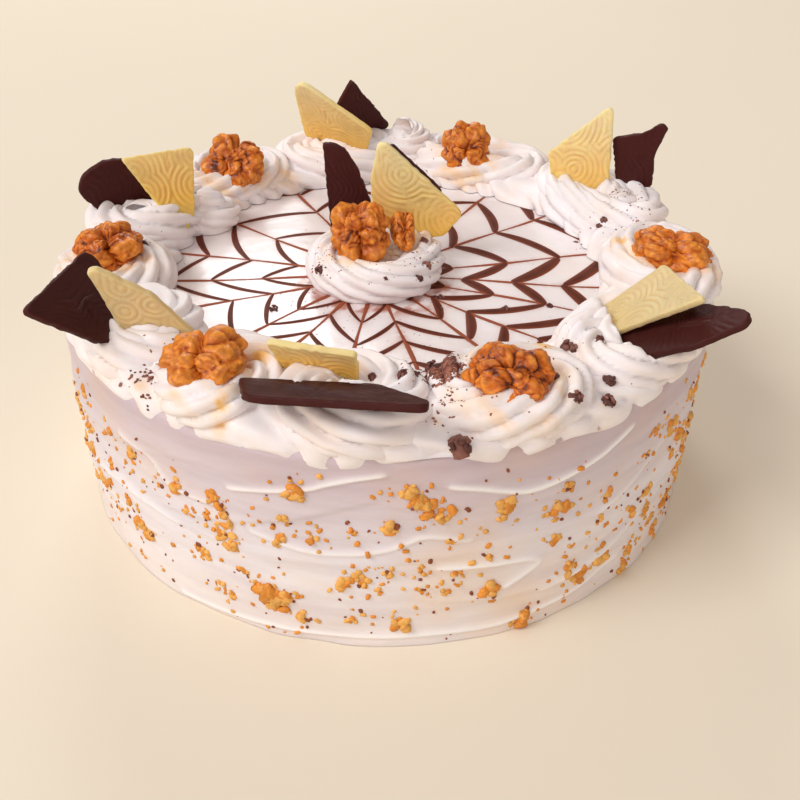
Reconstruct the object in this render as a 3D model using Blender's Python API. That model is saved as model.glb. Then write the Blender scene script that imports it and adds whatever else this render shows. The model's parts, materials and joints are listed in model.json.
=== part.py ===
"""Esterhazy torte: an iced round cake with a marbled fondant top, a ring of piped cream, walnut halves
and chocolate shards. Metres, +Z up, origin at the centre of the cake's flat base."""

import math
import random

import bmesh
import bpy
import numpy as np

# Driving dimensions of the cake, in metres.
CAKE_RADIUS = 0.125
CAKE_HEIGHT = 0.080
EDGE_ROUND = 0.0025
GLAZE_THICK = 0.0020
GLAZE_RADIUS = 0.118
GAP = 0.0003

# Piped cream: a ring of twelve swirls on the rim and one rosette in the middle.
RING_RADIUS = 0.1045
RING_HALF_WIDTH = 0.0218
SHARD_SWIRL_HEIGHT = 0.0185
WALNUT_SWIRL_HEIGHT = 0.0160
ROSETTE_PLACE = (-0.005, -0.008)
ROSETTE_RADIUS = 0.0275
ROSETTE_HEIGHT = 0.0180
SWIRL_RIDGES = 7
SWIRL_TURN = 0.55
SWIRL_DEPTH = 0.105

# Angles round the cake, in degrees from +X, of the six walnuts and the six shard pairs.
WALNUT_ANGLES = {
    "front_left": -119,
    "front_right": -70,
    "right": -8,
    "back_right": 69,
    "back_left": 137,
    "left": 192,
}
SHARD_ANGLES = {"a": -140, "f": -95, "e": -39, "d": 30, "c": 102, "b": 165}

SHARD_THICK = 0.0026

# How far a topping's seat in the cream stands off the topping, in gaps.
WALNUT_SEAT = 2.4
SHARD_SEAT = 1.5

# Chopped nuts on the side wall: the larger lumps as (degrees from the front, height in mm, half-size in mm),
# then how many more are spread over the back by rule.
NUT_LUMPS = [
    (-60, 36, 3.0), (-64, 54, 2.8), (-42, 55, 3.0), (-32, 53, 2.8), (-25, 54, 3.2), (-43, 23, 3.4),
    (-25, 40, 2.6), (-29, 28, 2.6), (-23, 34, 2.8), (-12, 65, 3.2), (-15, 44, 2.6), (-10, 49, 2.4),
    (-17, 19, 4.4), (-12, 11, 2.8), (-5, 28, 3.0), (1, 53, 3.0), (4, 67, 3.0), (8, 61, 3.6),
    (3, 9, 3.0), (17, 23, 3.4), (18, 57, 3.8), (28, 50, 3.6), (33, 14, 3.0), (38, 19, 3.0),
    (44, 33, 3.2), (53, 57, 3.0), (62, 38, 3.0), (57, 14, 3.2), (46, 9, 2.6), (23, 5, 3.0),
]
BACK_NUTS = 44
NUT_SEED = 7

COLOURS = {
    "icing": (0.88, 0.80, 0.75, 0.55, 0.0),
    "fondant": (0.90, 0.86, 0.84, 0.25, 0.0),
    "cream": (0.93, 0.87, 0.82, 0.50, 0.0),
    "walnut": (0.48, 0.20, 0.05, 0.45, 0.0),
    "dark_chocolate": (0.045, 0.018, 0.014, 0.40, 0.0),
    "white_chocolate": (0.85, 0.66, 0.33, 0.45, 0.0),
}

# Each walnut: place (x, y, z), half-lengths (x, y, z) before it is turned, turn (tilt, roll, heading).
WALNUTS = {
    "walnut_front_left": ((-0.0540, -0.0975, 0.0965), (0.0145, 0.0115, 0.0075), (20, -8, 5)),
    "walnut_front_right": ((0.0388, -0.1032, 0.0960), (0.0150, 0.0120, 0.0080), (24, 6, -8)),
    "walnut_right": ((0.1073, -0.0155, 0.0963), (0.0157, 0.0110, 0.0070), (16, 4, -18)),
    "walnut_back_right": ((0.0345, 0.0862, 0.0967), (0.0118, 0.0133, 0.0070), (62, 0, 4)),
    "walnut_back_left": ((-0.0700, 0.0634, 0.0967), (0.0145, 0.0134, 0.0078), (52, 8, -20)),
    "walnut_left": ((-0.1025, -0.0230, 0.0970), (0.0140, 0.0115, 0.0075), (22, -6, 28)),
    "walnut_centre": ((-0.0102, -0.0128, 0.0997), (0.0119, 0.0140, 0.0074), (58, -4, 6)),
    "walnut_piece": ((0.0056, -0.0076, 0.0984), (0.0052, 0.0080, 0.0046), (52, 10, 14)),
}

# Each shard: chocolate, place (x, y, z) in mm, heading and slope in degrees, and its corners in mm in its own
# plane as (across, up the slope). The lower corners stand in the cream.
SHARDS = {
    "shard_a_dark": (
        "dark_chocolate",
        (-94, -77, 101),
        172,
        54,
        [(-23, 14), (-20, 15), (18, 14), (21, 10), (13, -11), (-2, -13), (-8, -8)],
    ),
    "shard_a_white": (
        "white_chocolate",
        (-76.6, -77.4, 103),
        -87,
        75,
        [(14, 16), (11, 17), (-4, 6), (-15, -12), (-13, -15), (7, -15)],
    ),
    "shard_b_dark": (
        "dark_chocolate",
        (-110, 18, 105),
        -60,
        81,
        [(14, -1), (12, 5), (9, 8), (5, 10), (0, 11), (-5, 10), (-22, -17), (-4, -19), (6, -12)],
    ),
    "shard_b_white": (
        "white_chocolate",
        (-88, 21, 103),
        120,
        71,
        [(-17, 14), (11, 14), (12, 12), (7, -13), (2, -19), (-1, -17)],
    ),
    "shard_c_white": (
        "white_chocolate",
        (-31, 94, 106),
        -117,
        59,
        [(10, 17), (8, 22), (4, 24), (0, 22), (-25, 0), (-14, -22), (7, -24), (16, -18)],
    ),
    "shard_c_dark": (
        "dark_chocolate",
        (-14, 109, 107),
        -59,
        67,
        [(10, 19), (15, 6), (8, -15), (-6, -20), (-17, -12)],
    ),
    "shard_d_white": (
        "white_chocolate",
        (83, 60, 101),
        78,
        85,
        [(9, 25), (11, 23), (13, -7), (6, -16), (-10, -14), (-15, 3)],
    ),
    "shard_d_dark": (
        "dark_chocolate",
        (108, 55, 105),
        -117,
        89,
        [(14, 7), (0, 12), (-6, 17), (-9, 15), (-5, 2), (-6, -10), (-3, -18), (8, -18)],
    ),
    "shard_e_white": (
        "white_chocolate",
        (86, -63.5, 100),
        -3,
        46,
        [(-12, 11), (22, 19), (5, -14), (-14, -17)],
    ),
    "shard_e_dark": (
        "dark_chocolate",
        (93.5, -80, 99),
        3,
        37,
        [(-17, -17), (-12, 6), (9, 20), (13, 21), (16, 18), (12, 1), (3, -14), (-11, -20)],
    ),
    "shard_f_dark": (
        "dark_chocolate",
        (-10, -121, 100),
        -91,
        22,
        [(33, -17), (28, 5), (23, 8), (-23, 14), (-24, 8), (-9, -13)],
    ),
    "shard_f_white": (
        "white_chocolate",
        (-20, -98, 97),
        -104,
        62,
        [(14, 8), (-14, 8), (-12, -11), (12, -11)],
    ),
    "shard_g_dark": (
        "dark_chocolate",
        (-17, 9, 110),
        -90,
        86,
        [(8, 17), (3, 17), (-1, 14), (-5, 7), (-10, -7), (-8, -20), (6, -21)],
    ),
    "shard_g_white": (
        "white_chocolate",
        (6, 5, 111),
        -93,
        86,
        [(10, 18), (7, 18), (-23, -10), (-16, -20), (2, -23), (12, -14), (13, 4)],
    ),
    "shard_g_dark_behind": (
        "dark_chocolate",
        (6, 8.6, 111),
        -93,
        86,
        [(6, 16), (4.5, 16), (-14.5, -2), (-10, -20), (4, -22)],
    ),
}


def clear_scene():
    for item in list(bpy.data.objects):
        bpy.data.objects.remove(item)


def material(name):
    """One Principled BSDF for each of the torte's foods."""
    found = bpy.data.materials.get(name)
    if found:
        return found
    made = bpy.data.materials.new(name)
    made.use_nodes = True
    red, green, blue, roughness, metallic = COLOURS[name]
    shader = made.node_tree.nodes["Principled BSDF"]
    shader.inputs["Base Color"].default_value = (red, green, blue, 1.0)
    shader.inputs["Roughness"].default_value = roughness
    shader.inputs["Metallic"].default_value = metallic
    made.diffuse_color = (red, green, blue, 1.0)
    return made


def add_object(name, points, faces, food):
    mesh = bpy.data.meshes.new(name)
    mesh.from_pydata([tuple(p) for p in points], [], faces)
    work = bmesh.new()
    work.from_mesh(mesh)
    bmesh.ops.recalc_face_normals(work, faces=work.faces)
    work.to_mesh(mesh)
    work.free()
    mesh.materials.append(material(food))
    mesh.shade_smooth()
    mesh.set_sharp_from_angle(angle=math.radians(40))
    made = bpy.data.objects.new(name, mesh)
    bpy.context.scene.collection.objects.link(made)
    return made


def grid_faces(rows, columns):
    """Quads between the rows of a grid whose columns close on themselves."""
    faces = []
    for row in range(rows - 1):
        for column in range(columns):
            after = (column + 1) % columns
            here, below = row * columns, (row + 1) * columns
            faces.append((here + column, here + after, below + after, below + column))
    return faces


def closed_rings(rings, top, bottom):
    """Points and faces of a solid from rings of equal size, first to last, closed by a point at each end."""
    columns = len(rings[0])
    points = [p for ring in rings for p in ring] + [top, bottom]
    faces = grid_faces(len(rings), columns)
    last = (len(rings) - 1) * columns
    for column in range(columns):
        after = (column + 1) % columns
        faces.append((column, len(points) - 2, after))
        faces.append((last + column, last + after, len(points) - 1))
    return points, faces


def apply_boolean(target, tools, operation):
    """One Boolean of a collection of tools, applied, after which the tools are removed."""
    if not tools:
        return
    group = bpy.data.collections.new(target.name + "_tools")
    bpy.context.scene.collection.children.link(group)
    for tool in tools:
        bpy.context.scene.collection.objects.unlink(tool)
        group.objects.link(tool)
    modifier = target.modifiers.new("fit", "BOOLEAN")
    modifier.operand_type = "COLLECTION"
    modifier.collection = group
    modifier.operation = operation
    modifier.solver = "EXACT"
    bpy.context.view_layer.update()
    graph = bpy.context.evaluated_depsgraph_get()
    result = bpy.data.meshes.new_from_object(target.evaluated_get(graph))
    target.modifiers.clear()
    target.data = result
    for tool in tools:
        bpy.data.objects.remove(tool)
    bpy.data.collections.remove(group)


def keep_largest(target):
    """Drops the loose scraps that a cut leaves, and keeps the piece with the most faces."""
    work = bmesh.new()
    work.from_mesh(target.data)
    bmesh.ops.remove_doubles(work, verts=work.verts, dist=5e-6)
    bmesh.ops.dissolve_degenerate(work, edges=work.edges, dist=5e-6)
    left = set(work.faces)
    islands = []
    while left:
        todo = [left.pop()]
        island = set(todo)
        while todo:
            for edge in todo.pop().edges:
                for face in edge.link_faces if len(edge.link_faces) == 2 else ():
                    if face in left:
                        left.discard(face)
                        island.add(face)
                        todo.append(face)
        islands.append(island)
    islands.sort(key=len)
    for island in islands[:-1]:
        bmesh.ops.delete(work, geom=list(island), context="FACES")
    work.to_mesh(target.data)
    work.free()


# --- cake body --------------------------------------------------------------------------------


def wall_radius(angle, height):
    """The iced wall: nearly a cylinder, with the shallow sweeps that a palette knife leaves."""
    sweep = math.sin(3 * angle + 70 * height) + 0.7 * math.sin(5 * angle - 95 * height + 1.0)
    band = math.sin(2 * math.pi * height / 0.021 + 1.4 * math.sin(2 * angle))
    return CAKE_RADIUS - 0.0009 + 0.00035 * sweep + 0.00030 * band


def nut_lump(name, angle, height, size, draw):
    """A rough crumb of nut, a jittered icosahedron half sunk in the icing."""
    work = bmesh.new()
    bmesh.ops.create_icosphere(work, subdivisions=1, radius=1.0)
    stretch = (draw.uniform(0.8, 1.2), draw.uniform(0.55, 0.7), draw.uniform(0.75, 1.15))
    turn = draw.uniform(0, math.pi)
    centre = wall_radius(angle, height) - 0.05 * size
    outward = (math.cos(angle), math.sin(angle))
    points = []
    for vertex in work.verts:
        jitter = size * draw.uniform(0.84, 1.12)
        across = vertex.co.x * stretch[0]
        up = vertex.co.z * stretch[2]
        side = across * math.cos(turn) - up * math.sin(turn)
        lift = across * math.sin(turn) + up * math.cos(turn)
        out = centre + vertex.co.y * stretch[1] * jitter
        points.append(
            (
                outward[0] * out - outward[1] * side * jitter,
                outward[1] * out + outward[0] * side * jitter,
                height + lift * jitter,
            )
        )
    faces = [tuple(v.index for v in face.verts) for face in work.faces]
    work.free()
    return add_object(name, points, faces, "walnut")


def nut_places():
    """Angle, height and half-size of each lump: the named ones, and more spread round the back."""
    draw = random.Random(NUT_SEED)
    places = []
    for angle, height, size in NUT_LUMPS:
        places.append((math.radians(angle - 90), height * 0.001, size * 0.001))
    for number in range(BACK_NUTS):
        angle = math.radians(-20 + 220 * (number * 0.618034 % 1.0))
        size = draw.uniform(0.0016, 0.0032)
        places.append((angle, 0.006 + size + draw.random() ** 1.25 * (CAKE_HEIGHT - 0.026), size))
    kept = []
    for angle, height, size in places:
        clear = all(
            math.hypot(CAKE_RADIUS * math.remainder(angle - a, 2 * math.pi), height - h) > 1.2 * (size + s)
            for a, h, s in kept
        )
        if clear:
            kept.append((angle, max(height, 1.3 * size), size))
    return kept, draw


def build_cake():
    """The iced body with the fondant's shallow seat in its top, and the chopped nuts fused to its wall."""
    columns = 64
    heights = [0.0, 0.006, 0.020, 0.034, 0.048, 0.063, CAKE_HEIGHT - EDGE_ROUND]
    seat = GLAZE_RADIUS + GAP
    floor = CAKE_HEIGHT - GLAZE_THICK - GAP
    angles = [2 * math.pi * c / columns for c in range(columns)]

    def flat_ring(radius, height):
        return [(radius * math.cos(a), radius * math.sin(a), height) for a in angles]

    rings = []
    for z in heights:
        reaches = [wall_radius(a, z) for a in angles]
        rings.append([(r * math.cos(a), r * math.sin(a), z) for a, r in zip(angles, reaches)])
    rings.append(flat_ring(CAKE_RADIUS - EDGE_ROUND, CAKE_HEIGHT))
    rings.append(flat_ring(seat, CAKE_HEIGHT))
    rings.append(flat_ring(seat, floor))
    points, faces = closed_rings(rings, (0, 0, 0), (0, 0, floor))
    cake = add_object("cake", points, faces, "icing")
    places, draw = nut_places()
    lumps = [nut_lump(f"nut_{i}", *place, draw) for i, place in enumerate(places)]
    apply_boolean(cake, lumps, "UNION")
    keep_largest(cake)


def build_glaze():
    """The poured fondant that fills the seat, with a softly rounded rim."""
    columns = 64
    angles = [2 * math.pi * c / columns for c in range(columns)]
    low = CAKE_HEIGHT - GLAZE_THICK
    outline = [
        (GLAZE_RADIUS, low),
        (GLAZE_RADIUS, CAKE_HEIGHT - 0.0005),
        (GLAZE_RADIUS - 0.0005, CAKE_HEIGHT),
    ]
    rings = [[(r * math.cos(a), r * math.sin(a), z) for a in angles] for r, z in outline]
    points, faces = closed_rings(rings, (0, 0, low), (0, 0, CAKE_HEIGHT))
    add_object("fondant_top", points, faces, "fondant")


# --- piped cream ------------------------------------------------------------------------------


def swirl_profile(share, ridge):
    """Height share of a swirl from its middle (0) to its foot (1): a ridged dome with a drawn-up top."""
    dome = (1 - share**2.6) ** 0.62
    peak = 0.16 * math.exp(-((share / 0.22) ** 2))
    return dome * (0.86 + SWIRL_DEPTH * ridge * math.sin(math.pi * min(1.0, share * 1.15)) ** 0.8) + peak


def swirl_rings(place, shares, columns, turn_sense, phase, corner):
    """Rings of a swirl. place(across, out, up) maps shares of its half-lengths and height into space."""
    rings = []
    for share in shares:
        ring = []
        for column in range(columns):
            angle = 2 * math.pi * column / columns
            twist = turn_sense * math.pi * SWIRL_TURN * (1 - share)
            ridge = math.cos(SWIRL_RIDGES * (angle + twist) + phase)
            reach = share * (0.96 + 0.04 * ridge * share)
            square = 1 / (abs(math.cos(angle)) ** corner + abs(math.sin(angle)) ** corner) ** (1 / corner)
            ring.append(
                place(
                    reach * square * math.cos(angle),
                    reach * square * math.sin(angle),
                    max(0.0, swirl_profile(share, ridge)),
                )
            )
        rings.append(ring)
    return rings


def swirl_object(name, place, turn_sense, phase, columns=28, corner=4.5):
    shares = [0.18, 0.46, 0.74, 0.94]
    rings = swirl_rings(place, shares, columns, turn_sense, phase, corner)
    rings.append([(x, y, CAKE_HEIGHT + GAP) for x, y, _ in rings[-1]])
    top = place(0, 0, swirl_profile(0, 0))
    base = place(0, 0, 0)
    points, faces = closed_rings(rings, top, base)
    return add_object(name, points, faces, "cream")


def ring_sectors():
    """Middle angle and half-angle, in radians, of each of the twelve swirls, which meet halfway."""
    named = {"walnut_" + name: angle for name, angle in WALNUT_ANGLES.items()}
    named.update({"shard_" + name: angle for name, angle in SHARD_ANGLES.items()})
    ordered = sorted(named.items(), key=lambda item: item[1] % 360)
    sectors = {}
    for index, (name, angle) in enumerate(ordered):
        before = (angle - ordered[index - 1][1]) % 360
        after = (ordered[(index + 1) % len(ordered)][1] - angle) % 360
        middle = angle + (after - before) / 4
        sectors[name] = (math.radians(middle), math.radians((before + after) / 4))
    return sectors


def build_ring(tools):
    """Twelve swirls bent round the rim, each notched to take the walnut or shards that stand in it."""
    for index, (name, (middle, half)) in enumerate(ring_sectors().items()):
        half_angle = half - GAP / RING_RADIUS
        usual = SHARD_SWIRL_HEIGHT if name.startswith("shard") else WALNUT_SWIRL_HEIGHT
        height = usual * (1.0 + 0.05 * math.sin(2.4 * index))
        width = RING_HALF_WIDTH * (1.0 + 0.03 * math.sin(1.7 * index + 1))

        def place(across, out, up, middle=middle, half_angle=half_angle, height=height, width=width):
            angle = middle + across * half_angle
            radius = RING_RADIUS + out * width
            return (radius * math.cos(angle), radius * math.sin(angle), CAKE_HEIGHT + GAP + up * height)

        swirl = swirl_object("swirl_" + name, place, -1 if index % 2 else 1, 1.3 * index)
        notch(swirl, tools)


def build_rosette(tools):
    """The round rosette in the middle of the fondant."""

    def place(across, out, up):
        return (
            ROSETTE_PLACE[0] + across * ROSETTE_RADIUS,
            ROSETTE_PLACE[1] + out * ROSETTE_RADIUS,
            CAKE_HEIGHT + GAP + up * ROSETTE_HEIGHT,
        )

    notch(swirl_object("rosette_centre", place, 1, 0.0, columns=32, corner=2.0), tools)


def box_of(item):
    corners = np.array([item.matrix_world @ v.co for v in item.data.vertices])
    return corners.min(axis=0), corners.max(axis=0)


def notch(swirl, tools):
    """Cuts the seats of the toppings whose grown copies reach into this swirl."""
    low, high = box_of(swirl)
    meeting = []
    for make, details in tools:
        tool = make(*details)
        bpy.context.view_layer.update()
        tool_low, tool_high = box_of(tool)
        if (tool_low < high).all() and (low < tool_high).all():
            meeting.append(tool)
        else:
            bpy.data.objects.remove(tool)
    apply_boolean(swirl, meeting, "DIFFERENCE")
    keep_largest(swirl)


# --- walnuts ----------------------------------------------------------------------------------


def kernel_surface(azimuth, polar, seed):
    """Distance share of a walnut half's surface: two lobes parted by a groove, and folded."""
    x = math.sin(polar) * math.cos(azimuth)
    y = math.sin(polar) * math.sin(azimuth)
    z = math.cos(polar)
    groove = math.exp(-((x / 0.16) ** 2)) * max(0.0, z + 0.35)
    folds = math.sin(7.5 * y + 3.2 * abs(x) + seed) * math.sin(6.3 * abs(x) + 1.7 * seed)
    fine = 0.5 * math.sin(11 * z + 5 * y + 2 * seed) * math.sin(9 * x - 4 * y)
    waist = 0.10 * math.exp(-(((abs(y) - 1.0) / 0.30) ** 2)) * math.exp(-((x / 0.3) ** 2))
    return 1.0 - 0.20 * groove + 0.085 * folds + 0.045 * fine - waist


def walnut_object(name, place, halves, turn, seed, grow=1.0, columns=14, rows=8):
    rings = []
    for row in range(1, rows):
        polar = math.pi * row / rows
        ring = []
        for column in range(columns):
            azimuth = 2 * math.pi * column / columns
            reach = grow * kernel_surface(azimuth, polar, seed)
            ring.append(
                (
                    halves[0] * reach * math.sin(polar) * math.cos(azimuth),
                    halves[1] * reach * math.sin(polar) * math.sin(azimuth),
                    halves[2] * reach * math.cos(polar),
                )
            )
        rings.append(ring)
    top = (0, 0, halves[2] * grow * kernel_surface(0, 0, seed))
    bottom = (0, 0, -halves[2] * grow * kernel_surface(0, math.pi, seed))
    points, faces = closed_rings(rings, top, bottom)
    made = add_object(name, points, faces, "walnut")
    made.location = place
    made.rotation_euler = [math.radians(a) for a in turn]
    return made


# --- chocolate shards -------------------------------------------------------------------------


def grown_outline(corners, by):
    """The outline moved outwards by a distance, corner by corner along the mean of its two edges' normals."""
    ahead = corners[1:] + corners[:1]
    area = sum(x * ahead[i][1] - ahead[i][0] * y for i, (x, y) in enumerate(corners))
    side = 1 if area > 0 else -1
    grown = []
    for i, (x, y) in enumerate(corners):
        ax, ay = x - corners[i - 1][0], y - corners[i - 1][1]
        bx, by_ = ahead[i][0] - x, ahead[i][1] - y
        la, lb = math.hypot(ax, ay), math.hypot(bx, by_)
        nx, ny = side * (ay / la + by_ / lb), -side * (ax / la + bx / lb)
        scale = by / max(0.35, (nx * nx + ny * ny) / 2)
        grown.append((x + nx * scale, y + ny * scale))
    return grown


def shard_object(name, food, place, heading, slope, corners, grow=0.0):
    """A flat shard of chocolate that leans up towards its heading, with its upper rim eased."""
    outline = [(x * 0.001, y * 0.001) for x, y in corners]
    ease = 0.0004
    half = SHARD_THICK / 2 + grow
    levels = [(grow - ease, -half), (grow, -half + ease), (grow, half - ease), (grow - ease, half)]
    rings = [[(x, y, z) for x, y in grown_outline(outline, by)] for by, z in levels]
    columns = len(corners)
    points = [p for ring in rings for p in ring]
    faces = grid_faces(len(rings), columns)
    faces.append(tuple(reversed(range(columns))))
    faces.append(tuple(range((len(rings) - 1) * columns, len(rings) * columns)))
    made = add_object(name, points, faces, food)
    made.location = [c * 0.001 for c in place]
    made.rotation_euler = (math.radians(slope), 0, math.radians(heading - 90))
    return made


def build_toppings():
    for seed, (name, (place, halves, turn)) in enumerate(WALNUTS.items()):
        walnut_object(name, place, halves, turn, seed + 1.0)
    for name, (food, place, heading, slope, corners) in SHARDS.items():
        shard_object(name, food, place, heading, slope, corners)


def grown_toppings():
    """The maker, with its arguments, of each tool that cuts a topping's seat in the cream."""
    tools = []
    for seed, (name, (place, halves, turn)) in enumerate(WALNUTS.items()):
        grow = 1.0 + WALNUT_SEAT * GAP / min(halves)
        tools.append((walnut_object, (name + "_seat", place, halves, turn, seed + 1.0, grow)))
    for name, (food, place, heading, slope, corners) in SHARDS.items():
        details = (name + "_seat", food, place, heading, slope, corners, SHARD_SEAT * GAP)
        tools.append((shard_object, details))
    return tools


clear_scene()
build_cake()
build_glaze()
TOOLS = grown_toppings()
build_ring(TOOLS)
build_rosette(TOOLS)
build_toppings()
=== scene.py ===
"""Looks of an esterhazy torte: iced wall, chopped nuts, marbled fondant, piped cream, walnuts, chocolate.

Every piece is built in the row frame, in metres, with +Z up and the origin at the centre of the cake's base.
"""

from __future__ import annotations

import json
import logging
import math
from dataclasses import dataclass, field
from enum import Enum

import bpy
import numpy as np
from mathutils import Matrix, Vector
from mathutils.bvhtree import BVHTree

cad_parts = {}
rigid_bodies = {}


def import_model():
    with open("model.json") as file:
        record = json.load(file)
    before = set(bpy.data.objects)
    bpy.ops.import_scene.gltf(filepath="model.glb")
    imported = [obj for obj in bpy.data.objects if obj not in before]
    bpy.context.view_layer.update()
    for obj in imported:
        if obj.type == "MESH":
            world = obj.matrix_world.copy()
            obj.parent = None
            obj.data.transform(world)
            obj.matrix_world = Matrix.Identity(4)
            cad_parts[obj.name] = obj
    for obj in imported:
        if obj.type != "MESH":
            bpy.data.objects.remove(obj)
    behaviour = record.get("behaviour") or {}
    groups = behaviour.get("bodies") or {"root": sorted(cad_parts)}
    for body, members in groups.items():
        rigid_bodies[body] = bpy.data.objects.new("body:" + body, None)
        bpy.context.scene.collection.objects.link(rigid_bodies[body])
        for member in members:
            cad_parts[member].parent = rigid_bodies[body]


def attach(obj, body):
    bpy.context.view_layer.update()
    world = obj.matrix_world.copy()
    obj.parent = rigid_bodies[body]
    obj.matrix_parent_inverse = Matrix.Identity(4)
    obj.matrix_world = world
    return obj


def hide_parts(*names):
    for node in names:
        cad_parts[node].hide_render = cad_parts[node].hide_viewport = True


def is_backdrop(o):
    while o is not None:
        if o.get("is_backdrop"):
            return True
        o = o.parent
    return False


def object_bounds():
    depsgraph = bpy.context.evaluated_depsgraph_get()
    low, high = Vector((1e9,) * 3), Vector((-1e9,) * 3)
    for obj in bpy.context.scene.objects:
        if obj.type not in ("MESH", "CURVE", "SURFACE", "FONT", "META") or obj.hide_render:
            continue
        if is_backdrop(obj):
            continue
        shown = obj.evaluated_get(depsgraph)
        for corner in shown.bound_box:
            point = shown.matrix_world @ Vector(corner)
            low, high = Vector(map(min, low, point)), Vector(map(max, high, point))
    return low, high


LOG = logging.getLogger("torte")
MM = 0.001
CAKE_RADIUS = 0.125
CAKE_HEIGHT = 0.080
TAU = 2 * math.pi
Socket = bpy.types.NodeSocket


# --- numbers and surfaces ---


def smooth(x: np.ndarray | float) -> np.ndarray:
    """Smoothstep, 3x^2 - 2x^3.

    Args:
        x: values, which are first held between 0 and 1.

    Returns:
        The eased values.
    """
    x = np.clip(x, 0.0, 1.0)
    return x * x * (3 - 2 * x)


def linear(colour: tuple) -> tuple:
    """Scene-linear colour.

    Args:
        colour: an 8-bit sRGB triple, or a linear colour with its alpha, which is kept.

    Returns:
        Linear red, green, blue and alpha.
    """
    if len(colour) == 4:
        return colour
    share = np.array(colour) / 255.0
    out = np.where(share <= 0.04045, share / 12.92, ((share + 0.055) / 1.055) ** 2.4)
    return (*out.tolist(), 1.0)


def around(radius: np.ndarray | float, angle: np.ndarray, z: np.ndarray | float) -> np.ndarray:
    """Points x, y, z, along a new last axis, from distances to the cake's axis, angles and heights."""
    return np.stack(np.broadcast_arrays(radius * np.cos(angle), radius * np.sin(angle), z), axis=-1)


def unit(vectors: np.ndarray, least: float = 0.0) -> np.ndarray:
    """Vectors, along the last axis, scaled to a length of one; least is added to each length first."""
    return vectors / (np.linalg.norm(vectors, axis=-1, keepdims=True) + least)


def full_turn(count: int) -> np.ndarray:
    """This many even angles round one turn, in radians from 0."""
    return np.linspace(0, TAU, count, endpoint=False)


def ripple(points: np.ndarray, wavelength: float, seed: int, octaves: int = 3) -> np.ndarray:
    """Soft noise in about -1..1: sines along random directions, each octave half as long and half as strong.

    Args:
        points: positions in metres, with the last axis of length 2 or 3.
        wavelength: the longest wave, in metres.
        seed: chooses the directions and phases.
        octaves: how many halvings of the wave are added.

    Returns:
        The noise at each position.
    """
    draw = np.random.default_rng(seed)
    total = np.zeros(points.shape[:-1])
    weight = 1.0
    waves = 4
    for _ in range(octaves):
        for _ in range(waves):
            way = draw.normal(size=points.shape[-1])
            way /= np.linalg.norm(way)
            phase = points @ way * (TAU / wavelength) * draw.uniform(0.7, 1.4)
            total += weight * np.sin(phase + draw.uniform(0, TAU))
        weight *= 0.5
        wavelength *= 0.5
    return total / (0.75 * waves)


def grid_quads(rows: int, columns: int, wrap: bool = True) -> np.ndarray:
    """Corner indices of the quads of a grid.

    Args:
        rows: rows of points.
        columns: points in each row.
        wrap: whether the columns close on themselves.

    Returns:
        (n, 4) indices into the points, row by row.
    """
    down = np.arange(rows - 1)[:, None] * columns
    across = np.arange(columns if wrap else columns - 1)[None, :]
    after = (across + 1) % columns
    quads = np.stack([down + across, down + after, down + columns + after, down + columns + across], axis=-1)
    return quads.reshape(-1, 4)


def capped(rings: np.ndarray) -> tuple[np.ndarray, list[np.ndarray]]:
    """A closed surface from rings, with a fan at each end.

    Args:
        rings: (rows, columns, 3) points.

    Returns:
        The (n, 3) points and the face arrays.
    """
    rows, columns, _ = rings.shape
    points = np.concatenate([rings.reshape(-1, 3), rings[0].mean(axis=0)[None], rings[-1].mean(axis=0)[None]])
    here = np.arange(columns)
    after = (here + 1) % columns
    first = np.stack([after, here, np.full(columns, rows * columns)], axis=-1)
    last = (rows - 1) * columns
    final = np.stack([last + here, last + after, np.full(columns, rows * columns + 1)], axis=-1)
    return points, [grid_quads(rows, columns), first, final]


def turn_matrix(tilt: float, roll: float, heading: float) -> np.ndarray:
    """Rotation by Euler angles.

    Args:
        tilt: degrees about X, taken first.
        roll: degrees about Y.
        heading: degrees about Z, taken last.

    Returns:
        The 3 x 3 matrix.
    """
    ax, ay, az = (math.radians(a) for a in (tilt, roll, heading))
    about_x = np.array([[1, 0, 0], [0, math.cos(ax), -math.sin(ax)], [0, math.sin(ax), math.cos(ax)]])
    about_y = np.array([[math.cos(ay), 0, math.sin(ay)], [0, 1, 0], [-math.sin(ay), 0, math.cos(ay)]])
    about_z = np.array([[math.cos(az), -math.sin(az), 0], [math.sin(az), math.cos(az), 0], [0, 0, 1]])
    return about_z @ about_y @ about_x


def signed_volume(points: np.ndarray, faces: list[np.ndarray]) -> float:
    """Six times the volume inside faces, by the divergence rule.

    Args:
        points: (n, 3) corners.
        faces: arrays of corner indices, one row for each face.

    Returns:
        The figure, which is negative where the faces point inwards.
    """
    total = 0.0
    for part in faces:
        for k in range(1, part.shape[1] - 1):
            a, b, c = points[part[:, 0]], points[part[:, k]], points[part[:, k + 1]]
            total += float(np.einsum("ij,ij->", a, np.cross(b, c)))
    return total


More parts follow.
